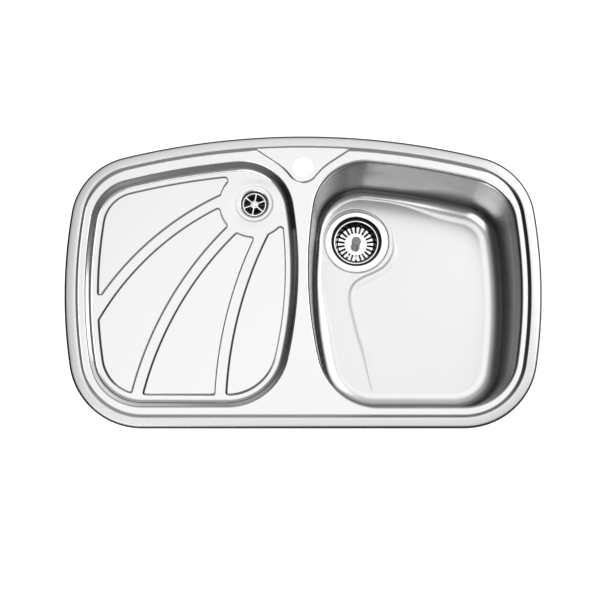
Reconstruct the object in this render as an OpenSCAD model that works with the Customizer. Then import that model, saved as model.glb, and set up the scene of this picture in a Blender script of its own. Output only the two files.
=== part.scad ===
// Inset kitchen sink: one bowl on the right, a ribbed drainer on the left and a tap ledge at the back.
// Origin: middle of the rim, on the worktop's surface. +X right, +Y to the back, +Z up. Millimetres.

/* [Rim] */
// Width of the rim, left to right
rim_w = 800; // [760:5:860]
// Depth of the rim, front to back
rim_d = 500; // [480:5:540]
// Radius of the slight bow of each side
side_bow_r = 850; // [750:10:1400]
// Radius of the slight bow of the back
back_bow_r = 1250; // [1100:10:2400]
// Corner radius at the front
front_corner_r = 125; // [100:1:135]
// Corner radius at the back
back_corner_r = 115; // [95:1:125]
// Width of the raised band along the edge
band_w = 17; // [15:0.5:19]
// Height of the band above the worktop
rim_h = 5.5; // [5:0.1:7]
// Radius of the rolled outer edge
edge_r = 3; // [2:0.1:3.2]
// Gap between the rolled edge and the worktop
edge_gap = 0.6; // [0.3:0.1:1]
// Drop from the band to the deck
deck_drop = 5; // [4:0.1:5.4]
// Width of the step from the band to the deck
step_w = 7; // [6:0.1:8]
// Thickness of the pressed sheet
sheet = 0.8; // [0.6:0.05:1]

/* [Bowl and drainer] */
// Rim edge to the pockets, at the sides
side_margin = 34.5; // [33:0.5:40]
// Rim edge to the pockets, at the back
back_margin = 40; // [38:0.5:50]
// Rim edge to the pockets, at the front
front_margin = 37; // [35:0.5:50]
// Land between bowl and drainer at its waist
land_w = 20; // [16:0.5:30]
// Radius of the bowed inner side of each pocket
land_bow_r = 700; // [500:10:1200]
// Distance of the land's waist behind the middle
land_waist_y = 20; // [0:1:40]
// Corner radius of a pocket, front outside
corner_fo_r = 89; // [70:1:95]
// Corner radius of a pocket, back outside
corner_bo_r = 79; // [65:1:88]
// Corner radius of a pocket, back inside
corner_bi_r = 88; // [80:1:92]
// Corner radius of a pocket, front inside
corner_fi_r = 101; // [80:1:110]
// Depth of the bowl below the top of the rim
bowl_depth = 165; // [140:1:190]
// How far the bowl's walls lean in
bowl_draft = 8; // [4:0.5:10]
// Radius between the bowl's walls and floor
bowl_bottom_r = 16; // [10:1:17]
// Radius over the bowl's edge
bowl_edge_r = 5; // [3:0.5:5.5]
// Depth of the drainer at its outlet, below the deck
drainer_depth = 17; // [15:0.5:22]
// Fall of the drainer towards its outlet, in percent
drainer_fall = 2; // [1:0.1:2.2]
// How far the drainer's walls lean in
drainer_draft = 1.5; // [0.5:0.1:3]
// Radius between the drainer's walls and floor
drainer_bottom_r = 4; // [3:0.5:5]
// Radius over the drainer's edge
drainer_edge_r = 3; // [2:0.5:3.5]
// Rounded edge of each pocket to the weld that joins it to the deck
weld_gap = 1.5; // [0.8:0.1:2]
// Drainer's edge to its raised panels
gutter_w = 18; // [15:0.5:24]
// Height of the raised panels
panel_h = 3; // [2:0.1:4]
// Lean of the panels' outer edges
panel_slope = 2.5; // [1:0.1:4]
// Width of the channels between the panels
channel_w = 15; // [10:0.5:20]
// Bare circle round the outlet, as a radius
panel_clear_r = 57.5; // [50:0.5:60]
// Inner channel's arc: its centre right of the outlet
channel_1_x = 160; // [150:1:170]
// Inner channel's arc: its centre in front of the outlet
channel_1_y = 431; // [420:1:440]
// Inner channel's arc: its radius
channel_1_r = 486.5; // [480:0.5:492]
// Middle channel's arc: its centre right of the outlet
channel_2_x = 384; // [375:1:393]
// Middle channel's arc: its centre in front of the outlet
channel_2_y = 460; // [450:1:470]
// Middle channel's arc: its radius
channel_2_r = 590.5; // [585:0.5:596]
// Outer channel's arc: its centre right of the outlet
channel_3_x = 650; // [640:1:660]
// Outer channel's arc: its centre in front of the outlet
channel_3_y = 356; // [346:1:366]
// Outer channel's arc: its radius
channel_3_r = 704; // [698:0.5:710]

/* [Tap ledge] */
// Tap hole to the back edge of the rim
tap_setback = 55; // [50:0.5:58]
// Radius of the tap hole
tap_hole_r = 17.5; // [16:0.25:18]
// Radius of the ledge's round front
ledge_r = 28; // [26:0.5:30]
// Height of the ledge above the deck
ledge_h = 2.5; // [1.5:0.1:3.5]
// Lean of the ledge's edge
ledge_slope = 3.5; // [2:0.1:5]
// Where each flank turns straight, as an angle about the pocket's corner
ledge_turn = 124; // [118:1:130]

/* [Bowl waste] */
// Waste centre to the bowl's inner side
waste_dx = 87; // [84:0.5:100]
// Waste centre to the bowl's back
waste_dy = 106; // [102:0.5:120]
// Radius of the round seat pressed into the floor
seat_r = 59; // [58:0.5:62]
// Depth of that seat
seat_drop = 3; // [2:0.1:4]
// Radius of the hole in the bowl's floor
waste_hole_r = 47.5; // [47:0.25:49]
// Radius of the waste's flange
flange_r = 57; // [55:0.5:58]
// Thickness of the waste's flange
flange_t = 1; // [0.8:0.1:1.4]
// Thickness of the gasket under the flange
flange_gasket_t = 1; // [0.6:0.1:1.5]
// Radius of the cup's mouth
mouth_r = 45; // [44:0.25:45.5]
// Wall of the cup
cup_t = 0.8; // [0.6:0.05:1.2]
// Depth of the shelf that the basket's seal sits on
shelf_depth = 12; // [10:0.5:16]
// Radius of the cup below that shelf
well_r = 39.5; // [38.5:0.25:41]
// Depth of the cup
cup_depth = 34; // [32:0.5:40]
// Number of drain holes in the cup's floor
cup_holes = 8; // [6:1:9]
// Radius of each drain hole
cup_hole_r = 6.5; // [4:0.25:7]
// Drain holes' circle, as a radius
cup_hole_pcr = 27; // [24:0.5:29]
// Thickness of the rubber washer under the bowl
body_gasket_t = 2.5; // [1.5:0.1:4]
// Width of the plastic body's rim
body_rim_w = 7; // [5:0.5:8]
// Thickness of the plastic body's rim
body_rim_t = 4; // [3:0.5:6]
// Wall of the plastic body
body_wall = 2.5; // [2:0.1:4]
// Straight height of the plastic body below its rim
body_h = 45; // [42:1:60]
// Height of the body's cone
body_cone_h = 16; // [12:1:24]
// Radius over the outlet's thread
outlet_r = 23.9; // [20:0.1:26]
// Length of the outlet
outlet_l = 22; // [16:1:30]
// Wall of the outlet
outlet_wall = 4; // [2.5:0.1:5]
// Radius of the clamping screw's shank
screw_r = 4; // [3:0.25:5]
// Radius of the clamping screw's head
screw_head_r = 9; // [7:0.5:11]
// Height of the clamping screw's head
screw_head_h = 2.5; // [2:0.1:3]
// Length of the clamping screw's shank
screw_l = 32; // [26:1:36]
// Radius of the boss that takes the screw
boss_r = 8; // [7:0.5:10]
// Running clearance of a screw in its thread
thread_gap = 0.05; // [0.02:0.01:0.1]

/* [Strainer basket] */
// Outer radius of the basket's rim
basket_rim_r = 41; // [40.5:0.25:42]
// Width of the basket's rim
basket_rim_w = 2.6; // [2:0.1:3]
// Depth of the basket
basket_depth = 17; // [14:0.5:18]
// Radius of the basket's floor
basket_floor_r = 32; // [28:0.5:34]
// Sheet of the basket
basket_t = 0.8; // [0.6:0.05:1]
// Number of slots in the basket
slot_count = 22; // [16:1:24]
// Width of each slot
slot_w = 2.6; // [1.6:0.1:3]
// Radius at which the slots start
slot_start_r = 21.5; // [20:0.5:24]
// How far the slots climb the wall
slot_rise = 6; // [3:0.5:8]
// Thickness of the rubber seal ring
seal_t = 2.4; // [1.6:0.1:3]
// Height of the knob above the basket's floor
knob_h = 27; // [20:0.5:30]
// Radius of the knob's top
knob_r = 8.4; // [7:0.1:10]
// Radius of the knob's foot
knob_foot_r = 7; // [5.5:0.1:8]
// Height up to which the knob keeps its foot's radius
knob_foot_h = 12; // [8:0.5:14]
// Height from which the knob has its top's radius
knob_head_z = 19; // [15:0.5:20]
// Radius of the stem
stem_r = 3; // [2:0.1:4]
// How far the stem reaches into the knob
stem_l = 18; // [12:0.5:19]
// Height of the stem's riveted end
rivet_h = 1.2; // [0.8:0.1:1.5]
// Radius of the stem's riveted end
rivet_r = 5; // [4:0.1:6]

/* [Drainer outlet] */
// Outlet centre to the drainer's inner side
outlet_dx = 73.5; // [72:0.5:80]
// Outlet centre to the drainer's back
outlet_dy = 74; // [72:0.5:80]
// Radius of the round seat
dish_r = 34; // [33:0.5:38]
// Width of the seat's sloping edge
dish_slope = 4; // [2:0.5:6]
// Depth of the seat
dish_drop = 3; // [2:0.1:4]
// Radius of the hole in the drainer
drain_hole_r = 22; // [21.5:0.25:24]
// Radius of the grille
grille_r = 20.6; // [19.5:0.1:21]
// Width of the grille's ring
grille_ring_w = 3.4; // [2.5:0.1:4]
// Thickness of the grille
grille_t = 2; // [1.5:0.1:3]
// Number of spokes
spokes = 6; // [4:1:8]
// Width of a spoke
spoke_w = 2.4; // [1.6:0.1:3]
// Angle of the first spoke
spoke_turn = 20; // [0:5:60]
// Radius of the grille's hub
hub_r = 6.8; // [6:0.1:8]
// Radius of the grille screw's head
grille_head_r = 4.9; // [4:0.1:5.5]
// Height of the grille screw's head
grille_head_h = 1.6; // [1.2:0.1:2.5]
// Radius of that head's flat top
grille_head_top_r = 3.4; // [2.8:0.1:3.8]
// Radius of the grille screw's shank
grille_screw_r = 2.5; // [2:0.1:3]
// Length of the grille screw's shank
grille_screw_l = 16; // [12:0.5:18]
// Thickness of the outlet's gasket
head_gasket_t = 2; // [1.5:0.1:3]
// Radius of the overflow head's flange
head_flange_r = 31; // [29:0.5:33]
// Thickness of that flange
head_flange_t = 3; // [2.5:0.1:5]
// Depth of the shelf that the grille lies on, below the seat
grille_shelf = 5; // [4.5:0.1:6]
// Inner radius of the overflow head's cup
head_bore_r = 16.5; // [15:0.5:18]
// Depth of the overflow head below its flange
head_h = 26; // [22:1:34]
// Wall of the overflow head
head_wall = 2.2; // [1.8:0.1:3]

/* [Overflow pipe] */
// Outer radius of the pipe
pipe_r = 10; // [8:0.25:11]
// Wall of the pipe
pipe_wall = 1.5; // [1.2:0.1:2]
// Radius of the pipe's bend
pipe_bend_r = 24; // [20:1:40]
// Radius over the thread of each spigot
spigot_r = 13; // [12.5:0.25:14]
// Length of each spigot
spigot_l = 16; // [12:1:22]
// Inlet's axis below the bowl's floor
inlet_drop = 42; // [40:1:48]
// Outer radius of a union nut
nut_r = 17; // [16:0.5:20]
// Length of a union nut
nut_l = 20; // [18:1:26]
// Length of the cone seal in a nut
cone_l = 4; // [3:0.5:5]
// Ribs round a union nut
nut_ribs = 12; // [8:1:16]

/* [Gasket and pad] */
// Width of the foam gasket under the band
gasket_w = 7; // [5:0.5:9]
// Width of the sound pad under the bowl
pad_w = 190; // [120:5:210]
// Depth of the sound pad
pad_d = 160; // [100:5:170]
// Thickness of the sound pad
pad_t = 2.5; // [1.5:0.1:5]
// Corner radius of the sound pad
pad_corner_r = 20; // [8:1:30]

/* [Clamps] */
// Front and back clamps, from the middle
clamp_x = 200; // [160:5:240]
// Side clamps, from the middle
clamp_y = 105; // [90:5:115]
// Screw axis to the rim's edge
clamp_inset = 22; // [21:0.25:22]
// Thickest worktop that the clamps grip
worktop_max = 41; // [40:1:50]
// Screw axis to the arm's tip
arm_reach = 20; // [16:0.5:22]
// Width of the arm
arm_w = 14; // [12:0.5:16]
// Plate of the arm
arm_t = 2.5; // [2:0.1:3]
// Height of the arm's upturned tip
tip_h = 10; // [8:0.5:14]
// Radius of the clamp screw
clamp_screw_r = 3; // [2.5:0.1:3.5]
// How far the clamp screw reaches into its thread, with the arm at its lowest
clamp_grip = 10; // [9:0.5:12]
// Radius of the clamp screw's head
clamp_head_r = 5.5; // [5:0.1:7]
// Height of the clamp screw's head
clamp_head_h = 3.5; // [3:0.1:5]
// Plate of the welded bracket
bracket_t = 1.5; // [1.2:0.1:1.6]
// Width of the bracket along the rim
bracket_w = 24; // [18:1:30]
// Height of the bracket
bracket_h = 20; // [19:0.5:22]
// Height of the threaded boss
thread_boss_h = 7; // [6:0.5:9]
// Radius of the threaded boss
thread_boss_r = 5; // [4.5:0.1:5.2]

/* [Hidden] */

// Fineness of round pieces and of very wide arcs, and how far a cut runs past a face
$fn = 96;
wide_fn = 180;
past = 1;
// Pieces of one body that only touch keep this small gap where they are round
touch = 0.05;

// Steps along a corner, a side and the back of an outline
corner_steps = 9;
side_steps = 6;
back_steps = 6;
edge_steps = 3;
bottom_steps = 4;
step_steps = 5;
// How far in from its square corner a round lies at its middle, as a share of its radius
round_mid = 1 - cos(45);

// Rim edge to the foot of the step
step_in = band_w + step_w;

// Heights
deck_z = rim_h - deck_drop;
deck_under = deck_z - sheet;
ledge_z = deck_z + ledge_h;
bowl_z = rim_h - bowl_depth;

// Centres of the big arcs
side_c = [rim_w / 2 - side_bow_r, 0];
back_c = [0, rim_d / 2 - back_bow_r];
land_c = [land_w / 2 + land_bow_r, land_waist_y];
pocket_side_r = side_bow_r - side_margin;
pocket_back_r = back_bow_r - back_margin;
pocket_front_y = front_margin - rim_d / 2;

function polar(r, a) = [r * cos(a), r * sin(a)];
function heading(v) = atan2(v.y, v.x);
function full(a) = a < 0 ? a + 360 : a;

// Crossing of two circles, on the left of the line from the first centre to the second (side = 1)
function crossing(c1, r1, c2, r2, side) =
    let (
        gap = norm(c2 - c1),
        along = (r1 * r1 - r2 * r2 + gap * gap) / (2 * gap),
        off = sqrt(r1 * r1 - along * along),
        dir = (c2 - c1) / gap
    )
    c1 + along * dir + side * off * [-dir.y, dir.x];

// Centre of a corner that touches a bowed side and the straight front
function front_corner(c, big_r, r, y, right) =
    [c.x + right * sqrt(pow(big_r - r, 2) - pow(y + r - c.y, 2)), y + r];

// An outline is a list of arcs [centre, radius, from, to, steps, last step left out, bulge]
// and goes anticlockwise; bulge is 1 on an outward arc, -1 on a hollow one, 0 on a fixed point
function outline(arcs, inset) = [
    for (a = arcs)
        for (i = [0:a[4] - a[5]])
            a[0] + polar(a[1] - a[6] * inset, a[2] + (a[3] - a[2]) * i / max(a[4], 1))
];

function mirrored(points) = [for (i = [len(points) - 1:-1:0]) [-points[i].x, points[i].y]];

// Rim outline
rim_front = front_corner(side_c, side_bow_r, front_corner_r, -rim_d / 2, 1);
rim_back = crossing(side_c, side_bow_r - back_corner_r, back_c, back_bow_r - back_corner_r, 1);
rim_a = heading(rim_front - side_c);
rim_b = heading(rim_back - side_c);
rim_e = heading(rim_back - back_c);
rim_arcs = [
    [rim_front, front_corner_r, -90, rim_a, corner_steps, 1, 1],
    [side_c, side_bow_r, rim_a, 0, side_steps / 2, 1, 1],
    [side_c, side_bow_r, 0, rim_b, side_steps / 2, 1, 1],
    [rim_back, back_corner_r, rim_b, rim_e, corner_steps, 1, 1],
    [back_c, back_bow_r, rim_e, 180 - rim_e, 2 * back_steps, 1, 1],
    [[-rim_back.x, rim_back.y], back_corner_r, 180 - rim_e, 180 - rim_b, corner_steps, 1, 1],
    [-side_c, side_bow_r, 180 - rim_b, 180, side_steps / 2, 1, 1],
    [-side_c, side_bow_r, 180, 180 - rim_a, side_steps / 2, 1, 1],
    [[-rim_front.x, rim_front.y], front_corner_r, 180 - rim_a, 270, corner_steps, 0, 1]
];

// Pocket outline: the bowl's; the drainer's is its mirror image
corner_fo = front_corner(side_c, pocket_side_r, corner_fo_r, pocket_front_y, 1);
corner_bo = crossing(side_c, pocket_side_r - corner_bo_r, back_c, pocket_back_r - corner_bo_r, 1);
corner_bi = crossing(land_c, land_bow_r - corner_bi_r, back_c, pocket_back_r - corner_bi_r, -1);
corner_fi = front_corner(land_c, land_bow_r, corner_fi_r, pocket_front_y, -1);
pocket_a = heading(corner_fo - side_c);
pocket_b = heading(corner_bo - side_c);
pocket_c = heading(corner_bo - back_c);
pocket_d = heading(corner_bi - back_c);
pocket_e = full(heading(corner_bi - land_c));
pocket_f = full(heading(corner_fi - land_c));
pocket_arcs = [
    [corner_fo, corner_fo_r, -90, pocket_a, corner_steps, 1, 1],
    [side_c, pocket_side_r, pocket_a, pocket_b, side_steps, 1, 1],
    [corner_bo, corner_bo_r, pocket_b, pocket_c, corner_steps, 1, 1],
    [back_c, pocket_back_r, pocket_c, pocket_d, back_steps, 1, 1],
    [corner_bi, corner_bi_r, pocket_d, pocket_e, corner_steps, 1, 1],
    [land_c, land_bow_r, pocket_e, pocket_f, side_steps, 1, 1],
    [corner_fi, corner_fi_r, pocket_f, 270, corner_steps, 0, 1]
];

// Waste and outlet centres, and the tap hole's
waste_c = [land_w / 2 + waste_dx, back_c.y + pocket_back_r - waste_dy];
outlet_c = [-land_w / 2 - outlet_dx, back_c.y + pocket_back_r - outlet_dy];
tap_c = [0, rim_d / 2 - tap_setback];

// Drainer floor: a plane that falls towards the outlet
drainer_far = [-corner_fo.x, corner_fo.y];
fall_dir = (drainer_far - outlet_c) / norm(drainer_far - outlet_c);
function bowl_floor(p) = bowl_z;
function drainer_floor(p) =
    deck_z - drainer_depth
    + drainer_fall / 100 * ((p.x - outlet_c.x) * fall_dir.x + (p.y - outlet_c.y) * fall_dir.y);
outlet_z = deck_z - drainer_depth;
dish_z = outlet_z - dish_drop;
// How far the seat's sloping edge is cut on above the floor, as a share of its width and depth
dish_past = 0.5;

// Heights and lengths of the bowl's waste
seat_z = bowl_z - seat_drop;
flange_under = seat_z + flange_gasket_t;
flange_top = flange_under + flange_t;
shelf_z = flange_top - shelf_depth;
cup_z = flange_top - cup_depth;
mouth_lip = 1.5;
cup_gap = 1.2;
body_top = seat_z - sheet - body_gasket_t;
body_in_r = mouth_r + cup_t + cup_gap;
body_cone_z = body_top - body_h;
outlet_end = body_cone_z - body_cone_h - outlet_l;
boss_gap = 1.5;
boss_top = cup_z - cup_t - boss_gap;
screw_show = 4;
boss_h = screw_l - cup_t - boss_gap - screw_show;
web_t = 3;
web_z = body_cone_z + web_t;
screw_slot = 1.6;
cross_slot = 1.2;
cross_reach = 2.7;
screw_point = 1;

// Heights of the basket
seal_gap = 0.3;
seal_top = shelf_z + seal_t;
basket_top = seal_top + basket_t;
basket_z = basket_top - basket_depth;
basket_wall_r = basket_rim_r - basket_rim_w;
knob_round = 2.5;

// Heights of the drainer's outlet
head_top = dish_z - sheet - head_gasket_t;
grille_z = dish_z - grille_shelf;
head_bottom = head_top - head_h;
grille_boss_h = grille_screw_l - grille_t;
grille_boss_top = grille_z - seal_gap;
grille_web_h = 7;
spoke_drop = 0.4;

// Overflow pipe, from the head's spigot to the body's inlet
inlet_z = bowl_z - inlet_drop;
inlet_turn = heading(outlet_c - waste_c);
inlet_end = body_in_r + body_wall + spigot_l;
pipe_insert = 10;
pipe_top = head_bottom - spigot_l + pipe_insert;
pipe_run = norm(outlet_c - waste_c) - inlet_end + pipe_insert;
nut_lip = 3;
nut_rib = 1.2;
cone_taper = 1.3;

// Foam gasket and pad
gasket_gap = 0.5;
pad_gap_x = 55;
pad_gap_y = 58;

// Clamps: [screw axis, outward heading]
bracket_foot = 5;
bracket_back = step_in + bracket_foot;
bracket_low = -bracket_h - bracket_t;
thread_low = bracket_low - thread_boss_h;
arm_z = -worktop_max - tip_h - arm_t;
clamp_screw_l = thread_low + clamp_grip - arm_z;
tooth = 1;
back_turn = acos(clamp_x / (back_bow_r - clamp_inset));
side_turn = asin(clamp_y / (side_bow_r - clamp_inset));
function on_back(a) = [back_c + polar(back_bow_r - clamp_inset, a), a];
function on_side(a) = [side_c + polar(side_bow_r - clamp_inset, a), a];
function other_side(c) = [[-c[0].x, c[0].y], 180 - c[1]];
clamps = [
    [[clamp_x, clamp_inset - rim_d / 2], -90],
    [[-clamp_x, clamp_inset - rim_d / 2], -90],
    on_back(180 - back_turn),
    on_back(back_turn),
    on_side(-side_turn),
    on_side(side_turn),
    other_side(on_side(-side_turn)),
    other_side(on_side(side_turn))
];

// Section of a pocket's wall from floor to deck, as [inset, height, 1 if measured from the floor];
// skin is 0 for the upper face of the sheet and its thickness for the lower face
function wall_section(top_r, floor_r, draft, skin) = [
    for (i = [bottom_steps:-1:0])
        let (a = 90 * i / bottom_steps)
        [draft + floor_r - (floor_r + skin) * cos(a), floor_r - (floor_r + skin) * sin(a), 1],
    for (i = [0:edge_steps])
        let (a = 90 * i / edge_steps)
        [(top_r - skin) * cos(a) - top_r, (top_r - skin) * sin(a) - top_r, 0]
];

// The rim's section from the outside in, as [inset, height] on the upper face
rim_section = [
    for (i = [0:edge_steps])
        let (a = 90 * i / edge_steps)
        [edge_r - edge_r * cos(a), rim_h - edge_r + edge_r * sin(a)],
    for (i = [0:step_steps])
        let (t = i / step_steps)
        [band_w + t * step_w, rim_h - deck_drop * (1 - cos(180 * t)) / 2]
];

// The lower face of a section: each point moves square to the section by the sheet's thickness
function lower_face(s) = [
    for (i = [0:len(s) - 1])
        let (
            before = i == 0 ? s[0] - [0, 1] : s[i - 1],
            after = i == len(s) - 1 ? s[i] + [1, 0] : s[i + 1],
            t = (after - before) / norm(after - before)
        )
        s[i] - sheet * [-t.y, t.x]
];

// A closed solid through rings of points, lowest first, with a fan of triangles over each end
function centre(ring) = [for (k = [0:2]) [for (p = ring) p[k]] * [for (p = ring) 1] / len(ring)];
module loft(rings, base_c = undef, top_c = undef) {
    n = len(rings[0]);
    last = len(rings) - 1;
    base = is_undef(base_c) ? centre(rings[0]) : base_c;
    top = is_undef(top_c) ? centre(rings[last]) : top_c;
    // Number of the point i on ring k, where i may run past the ring's end
    function at(k, i) = k * n + i % n;
    polyhedron(
        points = concat([for (r = rings) for (p = r) p], [base, top]),
        faces = concat(
            [for (i = [0:n - 1]) [at(0, i), at(0, i + 1), n * (last + 1)]],
            [for (k = [0:last - 1]) for (i = [0:n - 1]) [at(k, i), at(k + 1, i), at(k + 1, i + 1)]],
            [for (k = [0:last - 1]) for (i = [0:n - 1]) [at(k, i), at(k + 1, i + 1), at(k, i + 1)]],
            [for (i = [0:n - 1]) [at(last, i + 1), at(last, i), n * (last + 1) + 1]]
        )
    );
}

function raised(points, z) = [for (p = points) [p.x, p.y, z]];

// Rim, step and deck as one sheet: out along the lower face, round the edge and back over the upper one
module rim_sheet() {
    under = lower_face(rim_section);
    section = concat(
        [for (i = [len(under) - 1:-1:0]) under[i]],
        [[sheet, edge_gap], [0, edge_gap]],
        rim_section
    );
    loft([for (s = section) raised(outline(rim_arcs, s[0]), s[1])]);
}

// Tap ledge: a round front, two flanks that run round the pockets' corners, and straights that end
// in the step, on an arc about the back's centre
ledge_out = heading(corner_bi - tap_c);
flank_r = norm(corner_bi - tap_c) - ledge_r;
ledge_section = [[0, deck_z], [ledge_slope, ledge_z]];

// Where a line from p along d leaves the circle about c
function leaving(p, d, c, r) = let (o = p - c, k = o * d) p + d * (sqrt(k * k - o * o + r * r) - k);

function ledge_outline(inset, end_r) =
    let (
        front = [
            for (i = [0:corner_steps - 1])
                tap_c + polar(ledge_r - inset, 180 - ledge_out + (180 + 2 * ledge_out) * i / corner_steps)
        ],
        flank = [
            for (i = [0:corner_steps])
                corner_bi + polar(
                    flank_r + inset,
                    180 + ledge_out + (ledge_turn - 180 - ledge_out) * i / corner_steps
                )
        ],
        tip = leaving(flank[corner_steps], [sin(ledge_turn), -cos(ledge_turn)], back_c, end_r),
        tip_a = heading(tip - back_c),
        back = [for (i = [0:back_steps - 1]) back_c + polar(end_r, tip_a + (90 - tip_a) * i / back_steps)],
        right = concat(flank, back)
    )
    concat(front, right, [back_c + [0, end_r]], [for (i = [0:len(right) - 2]) mirrored(right)[i]]);

module ledge(section, foot_z, end_r) {
    rings = concat(
        [raised(ledge_outline(section[0][0], end_r), foot_z)],
        [for (s = section) raised(ledge_outline(s[0], end_r), s[1])]
    );
    loft(rings, [0, tap_c.y + ledge_r / 2, foot_z], [0, tap_c.y + ledge_r / 2, section[1][1]]);
}

// The ledge's top meets the step at this inset, and ends inside the step's metal
ledge_in = band_w + step_w * acos(2 * ledge_h / deck_drop - 1) / 180;
ledge_end_r = back_bow_r - ledge_in + sheet / 5;
ledge_under_r = ledge_end_r + sheet / 2;

// The lower face moves in by the sheet's thickness, square to the ledge's edge
ledge_lean = norm([ledge_slope, ledge_h]);
ledge_bend = sheet * (ledge_lean - ledge_slope) / ledge_h;
ledge_section_under = [[ledge_bend, deck_under], [ledge_slope + ledge_bend, ledge_z - sheet]];

// A pocket as a closed solid: its cavity with skin = 0, its outside with skin = sheet
module pocket(skin, left) {
    section = left
        ? wall_section(drainer_edge_r, drainer_bottom_r, drainer_draft, skin)
        : wall_section(bowl_edge_r, bowl_bottom_r, bowl_draft, skin);
    edge = left ? drainer_edge_r : bowl_edge_r;
    top_z = skin == 0 ? rim_h + past : deck_z - sheet / 2;
    rings = concat(
        [for (s = section)
            let (flat = outline(pocket_arcs, s[0]), points = left ? mirrored(flat) : flat)
            [for (p = points)
                [p.x, p.y, s[1] + (s[2] == 0 ? deck_z : left ? drainer_floor(p) : bowl_floor(p))]]],
        [let (flat = outline(pocket_arcs, -edge)) raised(left ? mirrored(flat) : flat, top_z)]
    );
    loft(rings);
}

// Raised panels: one field inside the gutter, cut by curved channels that fan out from the outlet.
// Each channel follows a circle [centre's offset from the outlet, radius]
channel_arcs = [
    [[channel_1_x, -channel_1_y], channel_1_r],
    [[channel_2_x, -channel_2_y], channel_2_r],
    [[channel_3_x, -channel_3_y], channel_3_r]
];

module wide_disc(r, h) cylinder(r = r, h = h, center = true, $fn = wide_fn);

module panels(skin) {
    foot = skin == 0 ? -sheet / 2 : -sheet - past;
    edge = gutter_w + skin;
    section = [[edge, foot], [edge, -skin], [edge + panel_slope, panel_h - skin]];
    difference() {
        loft([
            for (s = section)
                [for (p = mirrored(outline(pocket_arcs, s[0]))) [p.x, p.y, drainer_floor(p) + s[1]]]
        ]);
        translate([outlet_c.x, outlet_c.y, outlet_z - panel_clear_r])
            cylinder(r = panel_clear_r + skin, h = 2 * panel_clear_r);
        for (c = channel_arcs)
            translate([outlet_c.x + c[0].x, outlet_c.y + c[0].y, outlet_z])
                difference() {
                    wide_disc(c[1] + channel_w / 2 + skin, panel_clear_r);
                    wide_disc(c[1] - channel_w / 2 - skin, 2 * panel_clear_r);
                }
    }
}

// Seat of the drainer's outlet: a cone whose upper edge follows the sloping floor
function round_points(r) = [for (i = [0:$fn - 1]) outlet_c + polar(r, 360 * (i + 0.5) / $fn)];
module dish(skin) {
    out = skin == 0 ? dish_past * dish_slope : skin;
    up = skin == 0 ? dish_past * dish_drop : -skin / 2;
    loft([
        raised(round_points(dish_r - dish_slope + skin), dish_z - skin),
        [for (p = round_points(dish_r + out)) [p.x, p.y, drainer_floor(p) + up]]
    ]);
}

// The sheet is pressed in three pieces, welded where the deck is flat: deck, bowl and drainer.
// A weld's outline is just outside the rounded edge of its pocket
module pocket_plate(edge, left, low, high)
    translate([0, 0, low])
        linear_extrude(high - low)
            polygon(let (flat = outline(pocket_arcs, -edge - weld_gap)) left ? mirrored(flat) : flat);

module sink_deck()
    color("gainsboro")
    difference() {
        union() {
            rim_sheet();
            ledge(ledge_section, deck_z - sheet / 2, ledge_end_r);
        }
        ledge(ledge_section_under, deck_under - past, ledge_under_r);
        pocket_plate(bowl_edge_r, false, deck_under - past, rim_h + past);
        pocket_plate(drainer_edge_r, true, deck_under - past, rim_h + past);
        translate([tap_c.x, tap_c.y, deck_under - past])
            cylinder(r = tap_hole_r, h = ledge_h + sheet + 2 * past);
    }

module sink_bowl()
    color("gainsboro")
    difference() {
        union() {
            pocket_plate(bowl_edge_r, false, deck_under, deck_z);
            pocket(sheet, false);
            translate([waste_c.x, waste_c.y, seat_z - sheet])
                cylinder(r = seat_r + sheet, h = seat_drop + sheet / 2);
        }
        pocket(0, false);
        translate([waste_c.x, waste_c.y, seat_z])
            cylinder(r = seat_r, h = seat_drop + past);
        translate([waste_c.x, waste_c.y, seat_z - sheet - past])
            cylinder(r = waste_hole_r, h = seat_drop + sheet + 2 * past);
    }

module sink_drainer()
    color("gainsboro")
    difference() {
        union() {
            pocket_plate(drainer_edge_r, true, deck_under, deck_z);
            pocket(sheet, true);
            dish(sheet);
        }
        difference() {
            pocket(0, true);
            panels(0);
        }
        panels(sheet);
        dish(0);
        translate([outlet_c.x, outlet_c.y, dish_z - sheet - past])
            cylinder(r = drain_hole_r, h = dish_drop + sheet + 2 * past);
    }

module rim_gasket()
    color("dimgray")
    linear_extrude(rim_h - sheet)
        difference() {
            polygon(outline(rim_arcs, edge_r + gasket_gap));
            polygon(outline(rim_arcs, edge_r + gasket_gap + gasket_w));
        }

module sound_pad()
    color("dimgray")
    translate([
        rim_w / 2 - side_margin - pad_gap_x - pad_w / 2,
        pocket_front_y + pad_gap_y + pad_d / 2,
        bowl_z - sheet - pad_t
    ])
        linear_extrude(pad_t)
            union() {
                square([pad_w - 2 * pad_corner_r, pad_d], center = true);
                square([pad_w, pad_d - 2 * pad_corner_r], center = true);
                for (x = [-1, 1])
                    for (y = [-1, 1])
                        translate([x * (pad_w / 2 - pad_corner_r), y * (pad_d / 2 - pad_corner_r)])
                            circle(r = pad_corner_r);
            }

// Waste of the bowl, stacked from the pressed seat: gasket, flange and cup above the sheet, then
// washer and plastic body below it, drawn together by the screw in the cup's floor
module ring(r_out, r_in, h)
    difference() {
        cylinder(r = r_out, h = h);
        translate([0, 0, -past])
            cylinder(r = r_in, h = h + 2 * past);
    }

module at_waste(z) translate([waste_c.x, waste_c.y, z]) children();
module at_outlet(z) translate([outlet_c.x, outlet_c.y, z]) children();

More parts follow.
